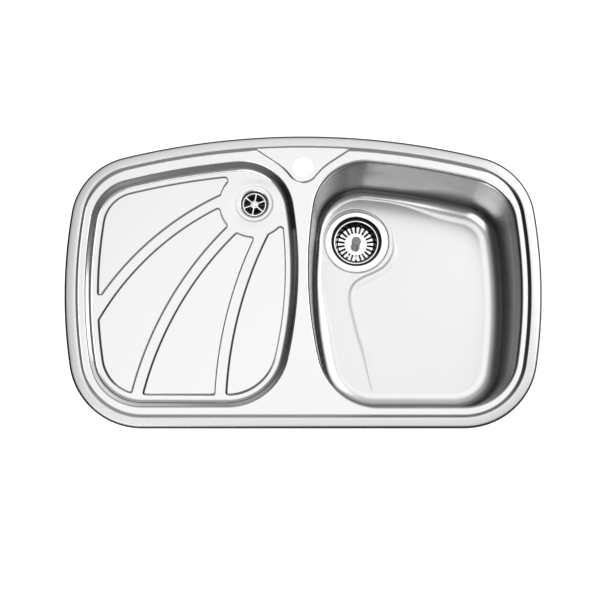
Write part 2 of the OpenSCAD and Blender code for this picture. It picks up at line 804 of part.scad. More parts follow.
module waste_flange()
    color("silver")
    at_waste(0)
        difference() {
            rotate_extrude()
                polygon([
                    [flange_r, flange_under],
                    [flange_r, flange_under + flange_t / 2],
                    [flange_r - flange_t, flange_top],
                    [mouth_r + mouth_lip, flange_top],
                    [mouth_r + mouth_lip * round_mid, flange_top - mouth_lip * round_mid],
                    [mouth_r, flange_top - mouth_lip],
                    [mouth_r, shelf_z],
                    [well_r, shelf_z],
                    [well_r, cup_z],
                    [screw_r + thread_gap, cup_z],
                    [screw_r + thread_gap, cup_z - cup_t],
                    [well_r + cup_t, cup_z - cup_t],
                    [well_r + cup_t, shelf_z - cup_t],
                    [mouth_r + cup_t, shelf_z - cup_t],
                    [mouth_r + cup_t, flange_under]
                ]);
            for (i = [0:cup_holes - 1])
                rotate(360 * i / cup_holes)
                    translate([cup_hole_pcr, 0, cup_z - cup_t - past])
                        cylinder(r = cup_hole_r, h = cup_t + 2 * past);
        }

module flange_gasket()
    color("dimgray")
    at_waste(seat_z)
        ring(flange_r - flange_t, waste_hole_r, flange_gasket_t);

module body_gasket()
    color("dimgray")
    at_waste(body_top)
        ring(body_in_r + body_wall + body_rim_w, waste_hole_r, body_gasket_t);

// Body section: straight wall, cone and threaded outlet; grow is 0 inside and the wall outside
module body_space(grow, neck_r, top, bottom)
    rotate_extrude()
        polygon([
            [0, top],
            [body_in_r + grow, top],
            [body_in_r + grow, body_cone_z],
            [neck_r + grow, body_cone_z - body_cone_h],
            [neck_r, body_cone_z - body_cone_h],
            [neck_r, bottom],
            [0, bottom]
        ]);

module waste_body()
    color([0.12, 0.12, 0.13])
    at_waste(0)
        difference() {
            union() {
                difference() {
                    union() {
                        translate([0, 0, body_top - body_rim_t])
                            cylinder(r = body_in_r + body_wall + body_rim_w, h = body_rim_t);
                        body_space(body_wall, outlet_r, body_top - body_rim_t / 2, outlet_end);
                        translate([0, 0, inlet_z])
                            rotate([0, 90, inlet_turn])
                                cylinder(r = spigot_r, h = body_in_r + body_wall + spigot_l);
                    }
                    body_space(0, outlet_r - outlet_wall, body_top + past, outlet_end - past);
                }
                for (a = [0, 90])
                    rotate(a + inlet_turn + 45)
                        translate([-body_in_r - body_wall / 2, -web_t / 2, web_z])
                            cube([2 * body_in_r + body_wall, web_t, boss_top - web_z]);
                translate([0, 0, boss_top - boss_h])
                    cylinder(r = boss_r, h = boss_h);
            }
            translate([0, 0, boss_top - boss_h - past])
                cylinder(r = screw_r + thread_gap, h = boss_h + 2 * past);
            translate([0, 0, inlet_z])
                rotate([0, 90, inlet_turn]) {
                    translate([0, 0, body_in_r - body_wall])
                        cylinder(r = pipe_r - pipe_wall, h = spigot_l);
                    translate([0, 0, inlet_end - pipe_insert])
                        cylinder(r = pipe_r + touch, h = pipe_insert + past);
                }
        }

module waste_screw()
    color("silver")
    at_waste(cup_z)
        difference() {
            union() {
                cylinder(r1 = screw_head_r, r2 = screw_head_r - screw_head_h / 2, h = screw_head_h);
                translate([0, 0, -screw_l])
                    cylinder(r = screw_r, h = screw_l);
            }
            translate([-screw_head_r, -screw_slot / 2, screw_head_h / 2])
                cube([2 * screw_head_r, screw_slot, screw_head_h]);
        }

// Strainer basket, its seal, stem and knob: one lifting unit
module strainer_basket()
    color("silver")
    at_waste(0)
        difference() {
            rotate_extrude()
                polygon([
                    [basket_rim_r - basket_t / 2, seal_top],
                    [basket_rim_r, seal_top + basket_t / 2],
                    [basket_rim_r - basket_t / 2, basket_top],
                    [basket_wall_r - basket_t, basket_top],
                    [basket_floor_r - basket_t, basket_z],
                    [stem_r + touch, basket_z],
                    [stem_r + touch, basket_z - basket_t],
                    [basket_floor_r, basket_z - basket_t],
                    [basket_wall_r, seal_top]
                ]);
            for (i = [0:slot_count - 1])
                rotate(360 * (i + 0.5) / slot_count)
                    translate([slot_start_r, -slot_w / 2, basket_z - 2 * basket_t])
                        cube([basket_rim_r, slot_w, slot_rise + 2 * basket_t]);
        }

module basket_seal()
    color([0.08, 0.08, 0.08])
    at_waste(shelf_z)
        ring(mouth_r - seal_gap, well_r - seal_gap, seal_t);

module basket_stem()
    color("silver")
    at_waste(basket_z)
        union() {
            translate([0, 0, -basket_t])
                cylinder(r = stem_r, h = basket_t + stem_l);
            translate([0, 0, -basket_t - rivet_h])
                cylinder(r1 = rivet_r - rivet_h, r2 = rivet_r, h = rivet_h);
        }

module basket_knob()
    color("darkgray")
    at_waste(basket_z)
        rotate_extrude()
            polygon([
                [stem_r + touch, 0],
                [knob_foot_r, 0],
                [knob_foot_r, knob_foot_h],
                [knob_r, knob_head_z],
                [knob_r, knob_h - knob_round],
                [knob_r - knob_round * round_mid, knob_h - knob_round * round_mid],
                [knob_r - knob_round, knob_h],
                [0, knob_h],
                [0, stem_l + touch],
                [stem_r + touch, stem_l + touch]
            ]);

// Outlet of the drainer: a screwed grille in the mouth of the overflow head
module drainer_grille()
    color("silver")
    at_outlet(grille_z)
        difference() {
            union() {
                ring(grille_r, grille_r - grille_ring_w, grille_t);
                cylinder(r = hub_r, h = grille_t);
                for (i = [0:spokes - 1])
                    rotate(spoke_turn + 360 * i / spokes)
                        translate([0, -spoke_w / 2, 0])
                            cube([grille_r - grille_ring_w / 2, spoke_w, grille_t - spoke_drop]);
            }
            translate([0, 0, -past])
                cylinder(r = grille_screw_r + thread_gap, h = grille_t + 2 * past);
        }

module grille_screw()
    color("silver")
    at_outlet(grille_z + grille_t)
        difference() {
            union() {
                cylinder(r1 = grille_head_r, r2 = grille_head_top_r, h = grille_head_h);
                translate([0, 0, -grille_screw_l])
                    cylinder(r = grille_screw_r, h = grille_screw_l);
            }
            for (a = [0, 90])
                rotate(a)
                    translate([-cross_reach, -cross_slot / 2, grille_head_h / 2])
                        cube([2 * cross_reach, cross_slot, grille_head_h]);
        }

module drainer_gasket()
    color("dimgray")
    at_outlet(head_top)
        ring(head_flange_r, drain_hole_r, head_gasket_t);

module overflow_head()
    color([0.12, 0.12, 0.13])
    at_outlet(0)
        difference() {
            union() {
                difference() {
                    rotate_extrude()
                        polygon([
                            [0, head_top],
                            [head_flange_r, head_top],
                            [head_flange_r, head_top - head_flange_t],
                            [grille_r + seal_gap + head_wall, head_top - head_flange_t],
                            [grille_r + seal_gap + head_wall, grille_z - head_wall],
                            [head_bore_r + head_wall, grille_z - 2 * head_wall],
                            [head_bore_r + head_wall, head_bottom],
                            [spigot_r, head_bottom],
                            [spigot_r, head_bottom - spigot_l],
                            [0, head_bottom - spigot_l]
                        ]);
                    translate([0, 0, grille_z])
                        cylinder(r = grille_r + seal_gap, h = head_top - grille_z + past);
                    translate([0, 0, head_bottom + head_wall])
                        cylinder(r = head_bore_r, h = grille_z - head_bottom);
                }
                translate([-head_bore_r - head_wall / 2, -web_t / 2, head_bottom + head_wall + pipe_r])
                    cube([2 * head_bore_r + head_wall, web_t, grille_web_h]);
                translate([0, 0, grille_boss_top - grille_boss_h])
                    cylinder(r = grille_screw_r + head_wall, h = grille_boss_h);
            }
            translate([0, 0, grille_boss_top - grille_boss_h - past])
                cylinder(r = grille_screw_r + thread_gap, h = grille_boss_h + 2 * past);
            translate([0, 0, head_bottom - spigot_l])
                cylinder(r = pipe_r - pipe_wall, h = spigot_l + head_wall + past);
            translate([0, 0, head_bottom - spigot_l - past])
                cylinder(r = pipe_r + touch, h = pipe_insert + past);
        }

// Overflow pipe: straight down from the head, one bend, and level to the waste body's inlet
module pipe_space(r, run_past)
    union() {
        translate([0, 0, inlet_z + pipe_bend_r])
            cylinder(r = r, h = pipe_top - inlet_z - pipe_bend_r + run_past);
        translate([pipe_bend_r, 0, inlet_z + pipe_bend_r])
            rotate([90, 0, 0])
                rotate([0, 0, 180])
                    rotate_extrude(angle = 90)
                        translate([pipe_bend_r, 0])
                            circle(r = r);
        translate([pipe_bend_r, 0, inlet_z])
            rotate([0, 90, 0])
                cylinder(r = r, h = pipe_run - pipe_bend_r + run_past);
    }

module overflow_pipe()
    color("whitesmoke")
    at_outlet(0)
        rotate(inlet_turn + 180)
            difference() {
                pipe_space(pipe_r, 0);
                pipe_space(pipe_r - pipe_wall, past);
            }

// A union nut on a spigot that ends at height 0 and points up, and the cone seal inside it
module union_nut()
    color([0.12, 0.12, 0.13])
    difference() {
        union() {
            translate([0, 0, nut_lip + cone_l - nut_l])
                cylinder(r = nut_r - nut_rib, h = nut_l);
            for (i = [0:nut_ribs - 1])
                rotate(360 * i / nut_ribs)
                    translate([nut_r - 2 * nut_rib, -nut_rib, nut_lip + cone_l - nut_l + nut_rib])
                        cube([2 * nut_rib, 2 * nut_rib, nut_l - 2 * nut_rib]);
        }
        translate([0, 0, nut_lip + cone_l - nut_l - past])
            cylinder(r = spigot_r + thread_gap, h = nut_l - nut_lip + past);
        translate([0, 0, -past])
            cylinder(r = pipe_r + touch, h = nut_l);
    }

module cone_seal()
    color("dimgray")
    difference() {
        cylinder(r1 = spigot_r - touch, r2 = spigot_r - touch - cone_taper, h = cone_l);
        translate([0, 0, -past])
            cylinder(r = pipe_r + touch, h = cone_l + 2 * past);
    }

module at_head_spigot() at_outlet(head_bottom - spigot_l) rotate([180, 0, 0]) children();
module at_body_inlet() at_waste(inlet_z) rotate([0, 90, inlet_turn]) translate([0, 0, inlet_end]) children();

module overflow_nut_top() at_head_spigot() union_nut();
module overflow_nut_side() at_body_inlet() union_nut();
module overflow_seal_top() at_head_spigot() cone_seal();
module overflow_seal_side() at_body_inlet() cone_seal();

// Clamps: a bracket welded under the deck, a screw through its boss, and an arm on the screw's head.
// At rest each arm lies along the rim; a quarter turn brings it out under the worktop
module at_clamp(i) translate([clamps[i][0].x, clamps[i][0].y, 0]) rotate(clamps[i][1]) children();

module bracket() {
    back = clamp_inset - bracket_back;
    difference() {
        union() {
            translate([back, -bracket_w / 2, deck_under - bracket_t])
                cube([bracket_back - step_in, bracket_w, bracket_t]);
            translate([back, -bracket_w / 2, bracket_low])
                cube([bracket_t, bracket_w, deck_under - bracket_low]);
            translate([back, -bracket_w / 2, bracket_low])
                cube([thread_boss_r - back + bracket_t, bracket_w, bracket_t]);
            translate([0, 0, thread_low])
                cylinder(r = thread_boss_r, h = thread_boss_h + bracket_t / 2);
        }
        translate([0, 0, thread_low - past])
            cylinder(r = clamp_screw_r + thread_gap, h = thread_boss_h + bracket_t + 2 * past);
    }
}

module clip_brackets()
    color("silver")
    union()
        for (i = [0:len(clamps) - 1])
            at_clamp(i) bracket();

module clamp_screw(i)
    color("silver")
    at_clamp(i)
        difference() {
            union() {
                translate([0, 0, arm_z - clamp_head_h])
                    cylinder(r = clamp_head_r, h = clamp_head_h);
                translate([0, 0, arm_z])
                    cylinder(r = clamp_screw_r, h = clamp_screw_l - screw_point);
                translate([0, 0, arm_z + clamp_screw_l - screw_point])
                    cylinder(r1 = clamp_screw_r, r2 = clamp_screw_r - screw_point, h = screw_point);
            }
            for (a = [0, 90])
                rotate(a)
                    translate([-clamp_screw_r, -cross_slot / 2, arm_z - clamp_head_h - past])
                        cube([2 * clamp_screw_r, cross_slot, clamp_head_h / 2 + past]);
        }

module clamp_arm(i)
    color("silver")
    at_clamp(i)
        rotate(-90)
            translate([0, 0, arm_z])
                difference() {
                    union() {
                        cylinder(r = arm_w / 2, h = arm_t);
                        translate([0, -arm_w / 2, 0])
                            cube([arm_reach, arm_w, arm_t]);
                        translate([arm_reach - arm_t, -arm_w / 2, 0])
                            cube([arm_t, arm_w, arm_t + tip_h]);
                    }
                    translate([0, 0, -past])
                        cylinder(r = clamp_screw_r + thread_gap, h = arm_t + 2 * past);
                    for (y = [-1, 0, 1])
                        translate([arm_reach - arm_t - past, y * arm_w / 3, arm_t + tip_h])
                            rotate([45, 0, 0])
                                translate([0, -tooth, -tooth])
                                    cube([arm_t + 2 * past, 2 * tooth, 2 * tooth]);
                }

sink_deck();
sink_bowl();
sink_drainer();
rim_gasket();
sound_pad();
clip_brackets();
waste_flange();
flange_gasket();
body_gasket();
waste_body();
waste_screw();
strainer_basket();
basket_seal();
basket_stem();
basket_knob();
drainer_grille();
grille_screw();
drainer_gasket();
overflow_head();
overflow_pipe();
overflow_nut_top();
overflow_nut_side();
overflow_seal_top();
overflow_seal_side();
clamp_screw(0);  // clamp_screw_1
clamp_screw(1);  // clamp_screw_2
clamp_screw(2);  // clamp_screw_3
clamp_screw(3);  // clamp_screw_4
clamp_screw(4);  // clamp_screw_5
clamp_screw(5);  // clamp_screw_6
clamp_screw(6);  // clamp_screw_7
clamp_screw(7);  // clamp_screw_8
clamp_arm(0);  // clamp_arm_1
clamp_arm(1);  // clamp_arm_2
clamp_arm(2);  // clamp_arm_3
clamp_arm(3);  // clamp_arm_4
clamp_arm(4);  // clamp_arm_5
clamp_arm(5);  // clamp_arm_6
clamp_arm(6);  // clamp_arm_7
clamp_arm(7);  // clamp_arm_8
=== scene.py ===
"""Inset stainless steel sink: the look of each piece, built round the packed frame."""

import math
from collections import namedtuple

import bmesh
import bpy
from mathutils import Matrix, Vector


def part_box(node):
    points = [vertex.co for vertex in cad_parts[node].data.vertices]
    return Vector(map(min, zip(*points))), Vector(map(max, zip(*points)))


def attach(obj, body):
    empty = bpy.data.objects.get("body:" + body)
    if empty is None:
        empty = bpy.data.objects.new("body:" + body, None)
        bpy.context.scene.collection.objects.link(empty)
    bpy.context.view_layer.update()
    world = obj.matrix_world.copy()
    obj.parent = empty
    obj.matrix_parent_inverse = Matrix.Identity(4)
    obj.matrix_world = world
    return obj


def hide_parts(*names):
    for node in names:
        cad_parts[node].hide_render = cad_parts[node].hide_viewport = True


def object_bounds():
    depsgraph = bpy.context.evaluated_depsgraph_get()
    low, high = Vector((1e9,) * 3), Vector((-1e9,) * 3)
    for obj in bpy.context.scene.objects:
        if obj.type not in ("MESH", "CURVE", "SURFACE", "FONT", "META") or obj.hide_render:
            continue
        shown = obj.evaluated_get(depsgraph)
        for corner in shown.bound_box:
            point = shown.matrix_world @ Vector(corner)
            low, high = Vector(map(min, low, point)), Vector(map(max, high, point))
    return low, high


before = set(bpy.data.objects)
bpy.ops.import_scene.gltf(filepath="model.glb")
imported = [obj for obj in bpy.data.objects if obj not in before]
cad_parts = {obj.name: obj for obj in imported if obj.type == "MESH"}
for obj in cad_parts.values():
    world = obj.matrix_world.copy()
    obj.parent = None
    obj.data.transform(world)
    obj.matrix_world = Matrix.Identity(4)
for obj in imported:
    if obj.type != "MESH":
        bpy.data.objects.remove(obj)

bl_info = {
    "name": "Inset Sink",
    "version": (1, 0, 0),
    "blender": (4, 5, 0),
    "location": "3D View > Sidebar > Sink",
    "description": "Builds an inset sink with drainer, strainer waste, overflow and clamps",
    "category": "Object",
}

MM = 0.001
CAD_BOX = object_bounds()


def size(label, about, mm):
    """A length property, given in millimetres."""
    return bpy.props.FloatProperty(name=label, description=about, default=mm * MM, unit="LENGTH", precision=5)


def turn(label, about, degrees):
    """An angle property, given in degrees."""
    return bpy.props.FloatProperty(
        name=label, description=about, default=math.radians(degrees), subtype="ANGLE"
    )


def count(label, about, number):
    """A whole-number property."""
    return bpy.props.IntProperty(name=label, description=about, default=number, min=3)


def share(label, about, value):
    """A property from 0 to 1."""
    return bpy.props.FloatProperty(
        name=label, description=about, default=value, min=0, max=1, subtype="FACTOR"
    )


def tint(label, about, colour):
    """A colour property."""
    return bpy.props.FloatVectorProperty(
        name=label, description=about, default=colour, size=3, min=0, max=1, subtype="COLOR"
    )


class RimSizes(bpy.types.PropertyGroup):
    """Rim, band and deck"""

    rim_w: size("Rim width", "Width of the rim, left to right", 800)
    rim_d: size("Rim depth", "Depth of the rim, front to back", 500)
    side_bow: size("Side bow", "Radius of the slight bow of each side", 850)
    back_bow: size("Back bow", "Radius of the slight bow of the back", 1250)
    front_corner: size("Front corners", "Corner radius at the front", 125)
    back_corner: size("Back corners", "Corner radius at the back", 115)
    band_w: size("Band width", "Width of the raised band along the edge", 17)
    rim_h: size("Band height", "Height of the band above the worktop", 5.5)
    edge_r: size("Edge radius", "Radius of the rolled outer edge", 4)
    edge_gap: size("Edge gap", "Gap between the rolled edge and the worktop", 0.6)
    deck_drop: size("Deck drop", "Drop from the band to the deck", 5)
    step_w: size("Step width", "Width of the step from the band to the deck", 7)
    sheet: size("Sheet", "Thickness of the pressed sheet", 0.8)
    band_fall: size("Band fall", "How much lower the band's outer side lies than its inner side", 0.35)


class PocketSizes(bpy.types.PropertyGroup):
    """Bowl and drainer"""

    side_margin: size("Side margin", "Rim edge to the pockets, at the sides", 34.5)
    back_margin: size("Back margin", "Rim edge to the pockets, at the back", 40)
    front_margin: size("Front margin", "Rim edge to the pockets, at the front", 37)
    land_w: size("Land", "Land between bowl and drainer at its waist", 20)
    land_bow: size("Land bow", "Radius of the bowed inner side of each pocket", 700)
    land_waist: size("Land waist", "Distance of the land's waist behind the middle", 20)
    corner_fo: size("Front outer corner", "Corner radius, front outside", 89)
    corner_bo: size("Back outer corner", "Corner radius, back outside", 79)
    corner_bi: size("Back inner corner", "Corner radius, back inside", 88)
    corner_fi: size("Front inner corner", "Corner radius, front inside", 101)
    bowl_depth: size("Bowl depth", "Depth of the bowl below the top of the rim", 165)
    bowl_draft: size("Bowl draft", "How far the bowl's walls lean in", 8)
    bowl_bottom: size("Bowl bottom radius", "Radius between the bowl's walls and floor", 16)
    early_rise: size("Early rise", "How much further in that rounding starts, away from the waste", 15)
    bowl_edge: size("Bowl edge radius", "Radius over the bowl's edge", 5)
    crease_in: size("Crease, inner side", "Width of the side of the floor's crease next to the waste", 6.5)
    crease_out: size("Crease, outer side", "Width of the crease's other, gentler side", 14)
    crease_h: size("Crease height", "Height of the floor's crease", 0.95)


class DrainerSizes(bpy.types.PropertyGroup):
    """Drainer, its panels and its outlet's seat"""

    depth: size("Depth", "Depth of the drainer at its outlet, below the deck", 17)
    fall: share("Fall", "Fall of the drainer towards its outlet", 0.02)
    draft: size("Draft", "How far the drainer's walls lean in", 5)
    bottom: size("Bottom radius", "Radius between the drainer's walls and floor", 8)
    edge: size("Edge radius", "Radius over the drainer's edge", 3)
    gutter: size("Gutter", "Drainer's edge to its raised panels", 18)
    panel_h: size("Panel height", "Height of the raised panels", 3)
    panel_slope: size("Panel slope", "Width of the panels' sloping edges", 4)
    panel_corner: size("Panel corners", "Corner radius of the panels", 6)
    channel: size("Channels", "Width of the channels between the panels", 15)
    clear_r: size("Clear circle", "Radius of the bare circle round the outlet", 57.5)
    outlet_dx: size("Outlet from the side", "Outlet centre to the drainer's inner side", 73.5)
    outlet_dy: size("Outlet from the back", "Outlet centre to the drainer's back", 74)
    level_r: size("Level circle", "Radius at which the floor bends level round the outlet", 44)
    dish_r: size("Seat radius", "Radius of the outlet's round seat", 34)
    dish_slope: size("Seat slope", "Width of the seat's sloping edge", 5)
    dish_lip: size("Seat edge", "Depth of that sloping edge", 0.5)
    dish_drop: size("Seat depth", "Depth of the outlet's seat", 3)
    dish_roll: size("Hole rounding", "Width of the rounding that runs down to the hole", 4)
    hole_r: size("Hole radius", "Radius of the hole in the drainer", 22)
    channel_1: size("Channel 1", "Radius of the arc of the first channel from the left", 486.5)
    channel_1_x: size("Channel 1 centre X", "Its centre, to the right of the outlet", 160)
    channel_1_y: size("Channel 1 centre Y", "Its centre, in front of the outlet", 431)
    channel_2: size("Channel 2", "Radius of the arc of the second channel", 590.5)
    channel_2_x: size("Channel 2 centre X", "Its centre, to the right of the outlet", 384)
    channel_2_y: size("Channel 2 centre Y", "Its centre, in front of the outlet", 460)
    channel_3: size("Channel 3", "Radius of the arc of the third channel", 704)
    channel_3_x: size("Channel 3 centre X", "Its centre, to the right of the outlet", 650)
    channel_3_y: size("Channel 3 centre Y", "Its centre, in front of the outlet", 356)


class LedgeSizes(bpy.types.PropertyGroup):
    """Tap ledge"""

    setback: size("Tap setback", "Tap hole to the back edge of the rim", 55)
    hole_r: size("Tap hole radius", "Radius of the tap hole", 17.5)
    front_r: size("Front radius", "Radius of the ledge's round front", 28)
    height: size("Height", "Height of the ledge above the deck", 2.5)
    slope: size("Slope", "Width of the ledge's sloping edge", 3.5)
    flank: turn("Flank", "Where each flank turns straight, about the pocket's corner", 124)


class WasteSizes(bpy.types.PropertyGroup):
    """Waste of the bowl"""

    waste_dx: size("Waste from the side", "Waste centre to the bowl's inner side", 87)
    waste_dy: size("Waste from the back", "Waste centre to the bowl's back", 106)
    seat_r: size("Seat radius", "Radius of the round seat pressed into the floor", 59)
    seat_drop: size("Seat depth", "Depth of that seat", 3)
    hole_r: size("Hole radius", "Radius of the hole in the bowl's floor", 47.5)
    flange_r: size("Flange radius", "Radius of the waste's flange", 57)
    flange_t: size("Flange", "Height of the flange above its gasket", 1)
    gasket_t: size("Flange gasket", "Thickness of the gasket under the flange", 1)
    mouth_r: size("Mouth radius", "Radius of the waste's mouth", 45)
    mouth_lip: size("Mouth lip", "Rounding at the mouth's edge", 1.5)
    cup_t: size("Cup wall", "Thickness of the waste's cup", 0.8)
    shelf_depth: size("Shelf depth", "Flange to the shelf that the basket's seal rests on", 12)
    well_r: size("Well radius", "Radius of the cup below its shelf", 39.5)
    cup_depth: size("Cup depth", "Flange to the cup's floor", 34)
    cup_hole_r: size("Cup hole radius", "Radius of the holes in the cup's floor", 6.5)
    cup_hole_ring: size("Cup hole ring", "Radius of the ring of those holes", 27)
    cup_holes: count("Cup holes", "Number of holes in the cup's floor", 8)
    screw_r: size("Screw radius", "Radius of the screw that holds the cup", 4)
    screw_l: size("Screw length", "Length of that screw", 32)
    screw_head_r: size("Screw head radius", "Radius of its head", 9)
    screw_head_h: size("Screw head height", "Height of its head", 2.5)
    screw_slot: size("Screw slot", "Width of its slot", 1.6)


class BasketSizes(bpy.types.PropertyGroup):
    """Strainer basket"""

    rim_r: size("Rim radius", "Radius of the basket's rim", 41)
    rim_w: size("Rim width", "Width of the basket's rim", 2.2)
    depth: size("Depth", "Depth of the basket", 17)
    floor_r: size("Floor radius", "Radius of the basket's floor", 33.5)
    sheet: size("Sheet", "Thickness of the basket's sheet", 0.8)
    slots: count("Slots", "Number of slots", 22)
    slot_w: size("Slot width", "Width of each slot", 3.8)
    slot_r: size("Slot start", "Radius at which each slot starts", 20.5)
    slot_rise: size("Slot rise", "How far each slot rises up the wall", 6)
    bottom_r: size("Bottom radius", "Radius between the basket's floor and wall", 2.2)
    seal_t: size("Seal", "Thickness of the seal under the rim", 2.4)
    seal_gap: size("Seal gap", "Gap round the seal", 0.3)
    knob_h: size("Knob height", "Height of the knob", 27)
    knob_r: size("Knob radius", "Radius of the knob's head", 8.4)
    knob_foot_r: size("Knob foot radius", "Radius of the knob's foot", 7)
    knob_foot_h: size("Knob foot height", "Height of the knob's straight foot", 12)
    knob_head_z: size("Knob head", "Height at which the knob's head starts", 19)
    knob_round: size("Knob rounding", "Rounding over the knob's head", 2.5)
    stem_r: size("Stem radius", "Radius of the stem in the knob", 3)
    stem_l: size("Stem length", "Length of the stem above the basket's floor", 18)
    rivet_r: size("Rivet radius", "Radius of the stem's riveted end", 5)
    rivet_h: size("Rivet height", "Height of the riveted end", 1.2)


class OutletSizes(bpy.types.PropertyGroup):
    """Outlet of the drainer"""

    grille_r: size("Grille radius", "Radius of the grille", 20.6)
    ring_w: size("Ring width", "Width of the grille's ring", 2.4)
    grille_t: size("Grille", "Thickness of the grille", 2)
    hub_r: size("Hub radius", "Radius of the grille's hub", 6.8)
    spokes: count("Spokes", "Number of spokes", 6)
    spoke_w: size("Spoke width", "Width of each spoke", 2.4)
    spoke_turn: turn("Spoke turn", "Heading of the first spoke", 20)
    shelf: size("Shelf", "Outlet's seat to the grille's underside", 5)
    screw_r: size("Screw radius", "Radius of the grille's screw", 2.5)
    screw_l: size("Screw length", "Length of the grille's screw", 16)
    screw_head_r: size("Screw head radius", "Radius of its head", 4.9)
    screw_top_r: size("Screw top radius", "Radius of the head's flat top", 3.4)
    screw_head_h: size("Screw head height", "Height of its head", 1.6)
    cross_w: size("Cross width", "Width of the cross slot", 1.2)
    cross_reach: size("Cross reach", "Half of the cross slot's length", 2.7)


class ClampSizes(bpy.types.PropertyGroup):
    """Rim clamps"""

    inset: size("Inset", "Rim's edge to each clamp's screw", 22)
    along_x: size("Along X", "Clamp's distance from the middle, at front and back", 200)
    along_y: size("Along Y", "Clamp's distance from the middle, at the sides", 105)
    worktop: size("Worktop", "Thickest worktop that the clamps take", 41)
    arm_reach: size("Arm reach", "Screw to the arm's tip", 20)
    arm_w: size("Arm width", "Width of the arm", 14)
    arm_t: size("Arm", "Thickness of the arm", 2.5)
    tip_h: size("Tip height", "Height of the arm's bent tip", 10)
    tooth: size("Tooth", "Size of the teeth on the tip", 1)
    screw_r: size("Screw radius", "Radius of the clamp's screw", 3)
    thread: size("Thread", "Depth of the screw's thread", 0.35)
    pitch: size("Pitch", "Pitch of the screw's thread", 1)
    head_r: size("Head radius", "Radius of the screw's head", 5.5)
    head_h: size("Head height", "Height of the screw's head", 3.5)
    bracket_t: size("Bracket", "Thickness of the bracket", 1.5)
    bracket_w: size("Bracket width", "Width of the bracket", 24)
    bracket_h: size("Bracket height", "Height of the bracket below the worktop's surface", 20)
    bracket_back: size("Bracket back", "Screw's axis to the bracket's back, outwards from the rim's edge", 29)
    bend_r: size("Bend", "Radius of the bracket's bends", 2.2)
    boss_r: size("Boss radius", "Radius of the bracket's threaded boss", 5)
    boss_h: size("Boss height", "Height of that boss", 7)
    grip: size("Grip", "How far the screw reaches past the boss's foot", 10)


class Finishes(bpy.types.PropertyGroup):
    """Colours and roughness of the finishes"""

    steel: tint("Steel", "Colour of the satin sheet", (0.745, 0.745, 0.75))
    steel_rough: share("Steel roughness", "Roughness of the satin sheet", 0.21)
    # Painted shade: the sheet's steep faces and its rim's band are painted darker than its flat deck
    steep: share("Steep faces", "How bright the sheet's steep faces are next to its flat ones", 0.6)
    band: share("Band", "How bright the rim's band is next to the deck", 0.86)
    polished: tint("Polished steel", "Colour of the waste and basket", (0.86, 0.86, 0.865))
    polished_rough: share("Polished roughness", "Roughness of the waste and basket", 0.14)
    chrome: tint("Chrome", "Colour of the drainer's grille", (0.88, 0.885, 0.89))
    zinc: tint("Zinc", "Colour of the zinc-plated clamps", (0.62, 0.63, 0.64))
    rubber: tint("Rubber", "Colour of the seals", (0.022, 0.022, 0.023))
    foam: tint("Foam", "Colour of the rim's foam gasket", (0.06, 0.06, 0.065))
    pad: tint("Damping pad", "Colour of the pad under the bowl", (0.07, 0.07, 0.075))
    black_plastic: tint("Black plastic", "Colour of the waste's body and the nuts", (0.03, 0.03, 0.032))
    white_plastic: tint("White plastic", "Colour of the overflow pipe", (0.80, 0.80, 0.78))
    knob: tint("Knob", "Colour of the basket's knob", (0.42, 0.42, 0.425))


GROUPS = {
    "sink_rim": RimSizes,
    "sink_pockets": PocketSizes,
    "sink_drainer": DrainerSizes,
    "sink_ledge": LedgeSizes,
    "sink_waste": WasteSizes,
    "sink_basket": BasketSizes,
    "sink_outlet": OutletSizes,
    "sink_clamps": ClampSizes,
    "sink_finish": Finishes,
}

# A point of an outline, on an arc, that can move inwards
Station = namedtuple("Station", "centre radius angle")


def polar(radius, angle):
    """A flat vector of that length and heading."""
    return Vector((math.cos(angle), math.sin(angle))) * radius


def heading(v):
    """The angle of a flat vector, anticlockwise from +X."""
    return math.atan2(v.y, v.x)


def ease(t):
    """A smooth step from 0 to 1."""
    return (1 - math.cos(math.pi * min(max(t, 0), 1))) / 2


def steps(start, end, number):
    """Evenly spaced values from start to end, both included."""
    return [start + (end - start) * i / number for i in range(number + 1)]


def arc(centre, radius, start, end, number):
    """Stations along an arc, without its last point."""
    return [Station(centre, radius, a) for a in steps(start, end, number)[:-1]]


def circle(centre, radius, number):
    """Stations round a circle."""
    return arc(centre, radius, 0, math.tau, number)


def place(station, inset=0):
    """The station's point, moved inwards by the inset."""
    return station.centre + polar(station.radius - inset, station.angle)


def mirrored(stations):
    """The outline's mirror image, still anticlockwise."""
    return [Station(Vector((-c.x, c.y)), radius, math.pi - angle) for c, radius, angle in stations[::-1]]


def crossing(c1, r1, c2, r2, side):
    """Crossing of two circles, on the left of the line from the first centre to the second if side is 1."""
    gap = (c2 - c1).length
    along = (r1 * r1 - r2 * r2 + gap * gap) / (2 * gap)
    off = math.sqrt(r1 * r1 - along * along)
    way = (c2 - c1) / gap
    return c1 + along * way + side * off * Vector((-way.y, way.x))


def front_corner(c, big_r, r, y, right):
    """Centre of a corner that touches a bowed side and the straight front."""
    return Vector((c.x + right * math.sqrt((big_r - r) ** 2 - (y + r - c.y) ** 2), y + r))


# Fineness of the sheet's outlines and roundings
CORNER_STEPS = 22
SIDE_STEPS = 14
RIM_CORNER_STEPS = 26
RIM_SIDE_STEPS = 16
RIM_BACK_STEPS = 40
FLANK_STEPS = 10
ROUND_STEPS = 8
WALL_STEPS = 8
HOLE_STEPS = 64
# Width of the flat strip that a rounding runs out into
STRIP = 0.7 * MM
# Rounding of the edges of the waste's seat
SEAT_ROUND = 0.9 * MM
# How far from the waste's centre the bowl's floor starts to rise sooner, and over what distance
RISE_FROM = 105 * MM
RISE_OVER = 85 * MM
# Sides of large, middling and small round things
FINE_SIDES = 96
KNOB_SIDES = 72
HEAD_SIDES = 48
BOSS_SIDES = 40
ARM_HOLE_SIDES = 32
HOLE_SIDES = 24
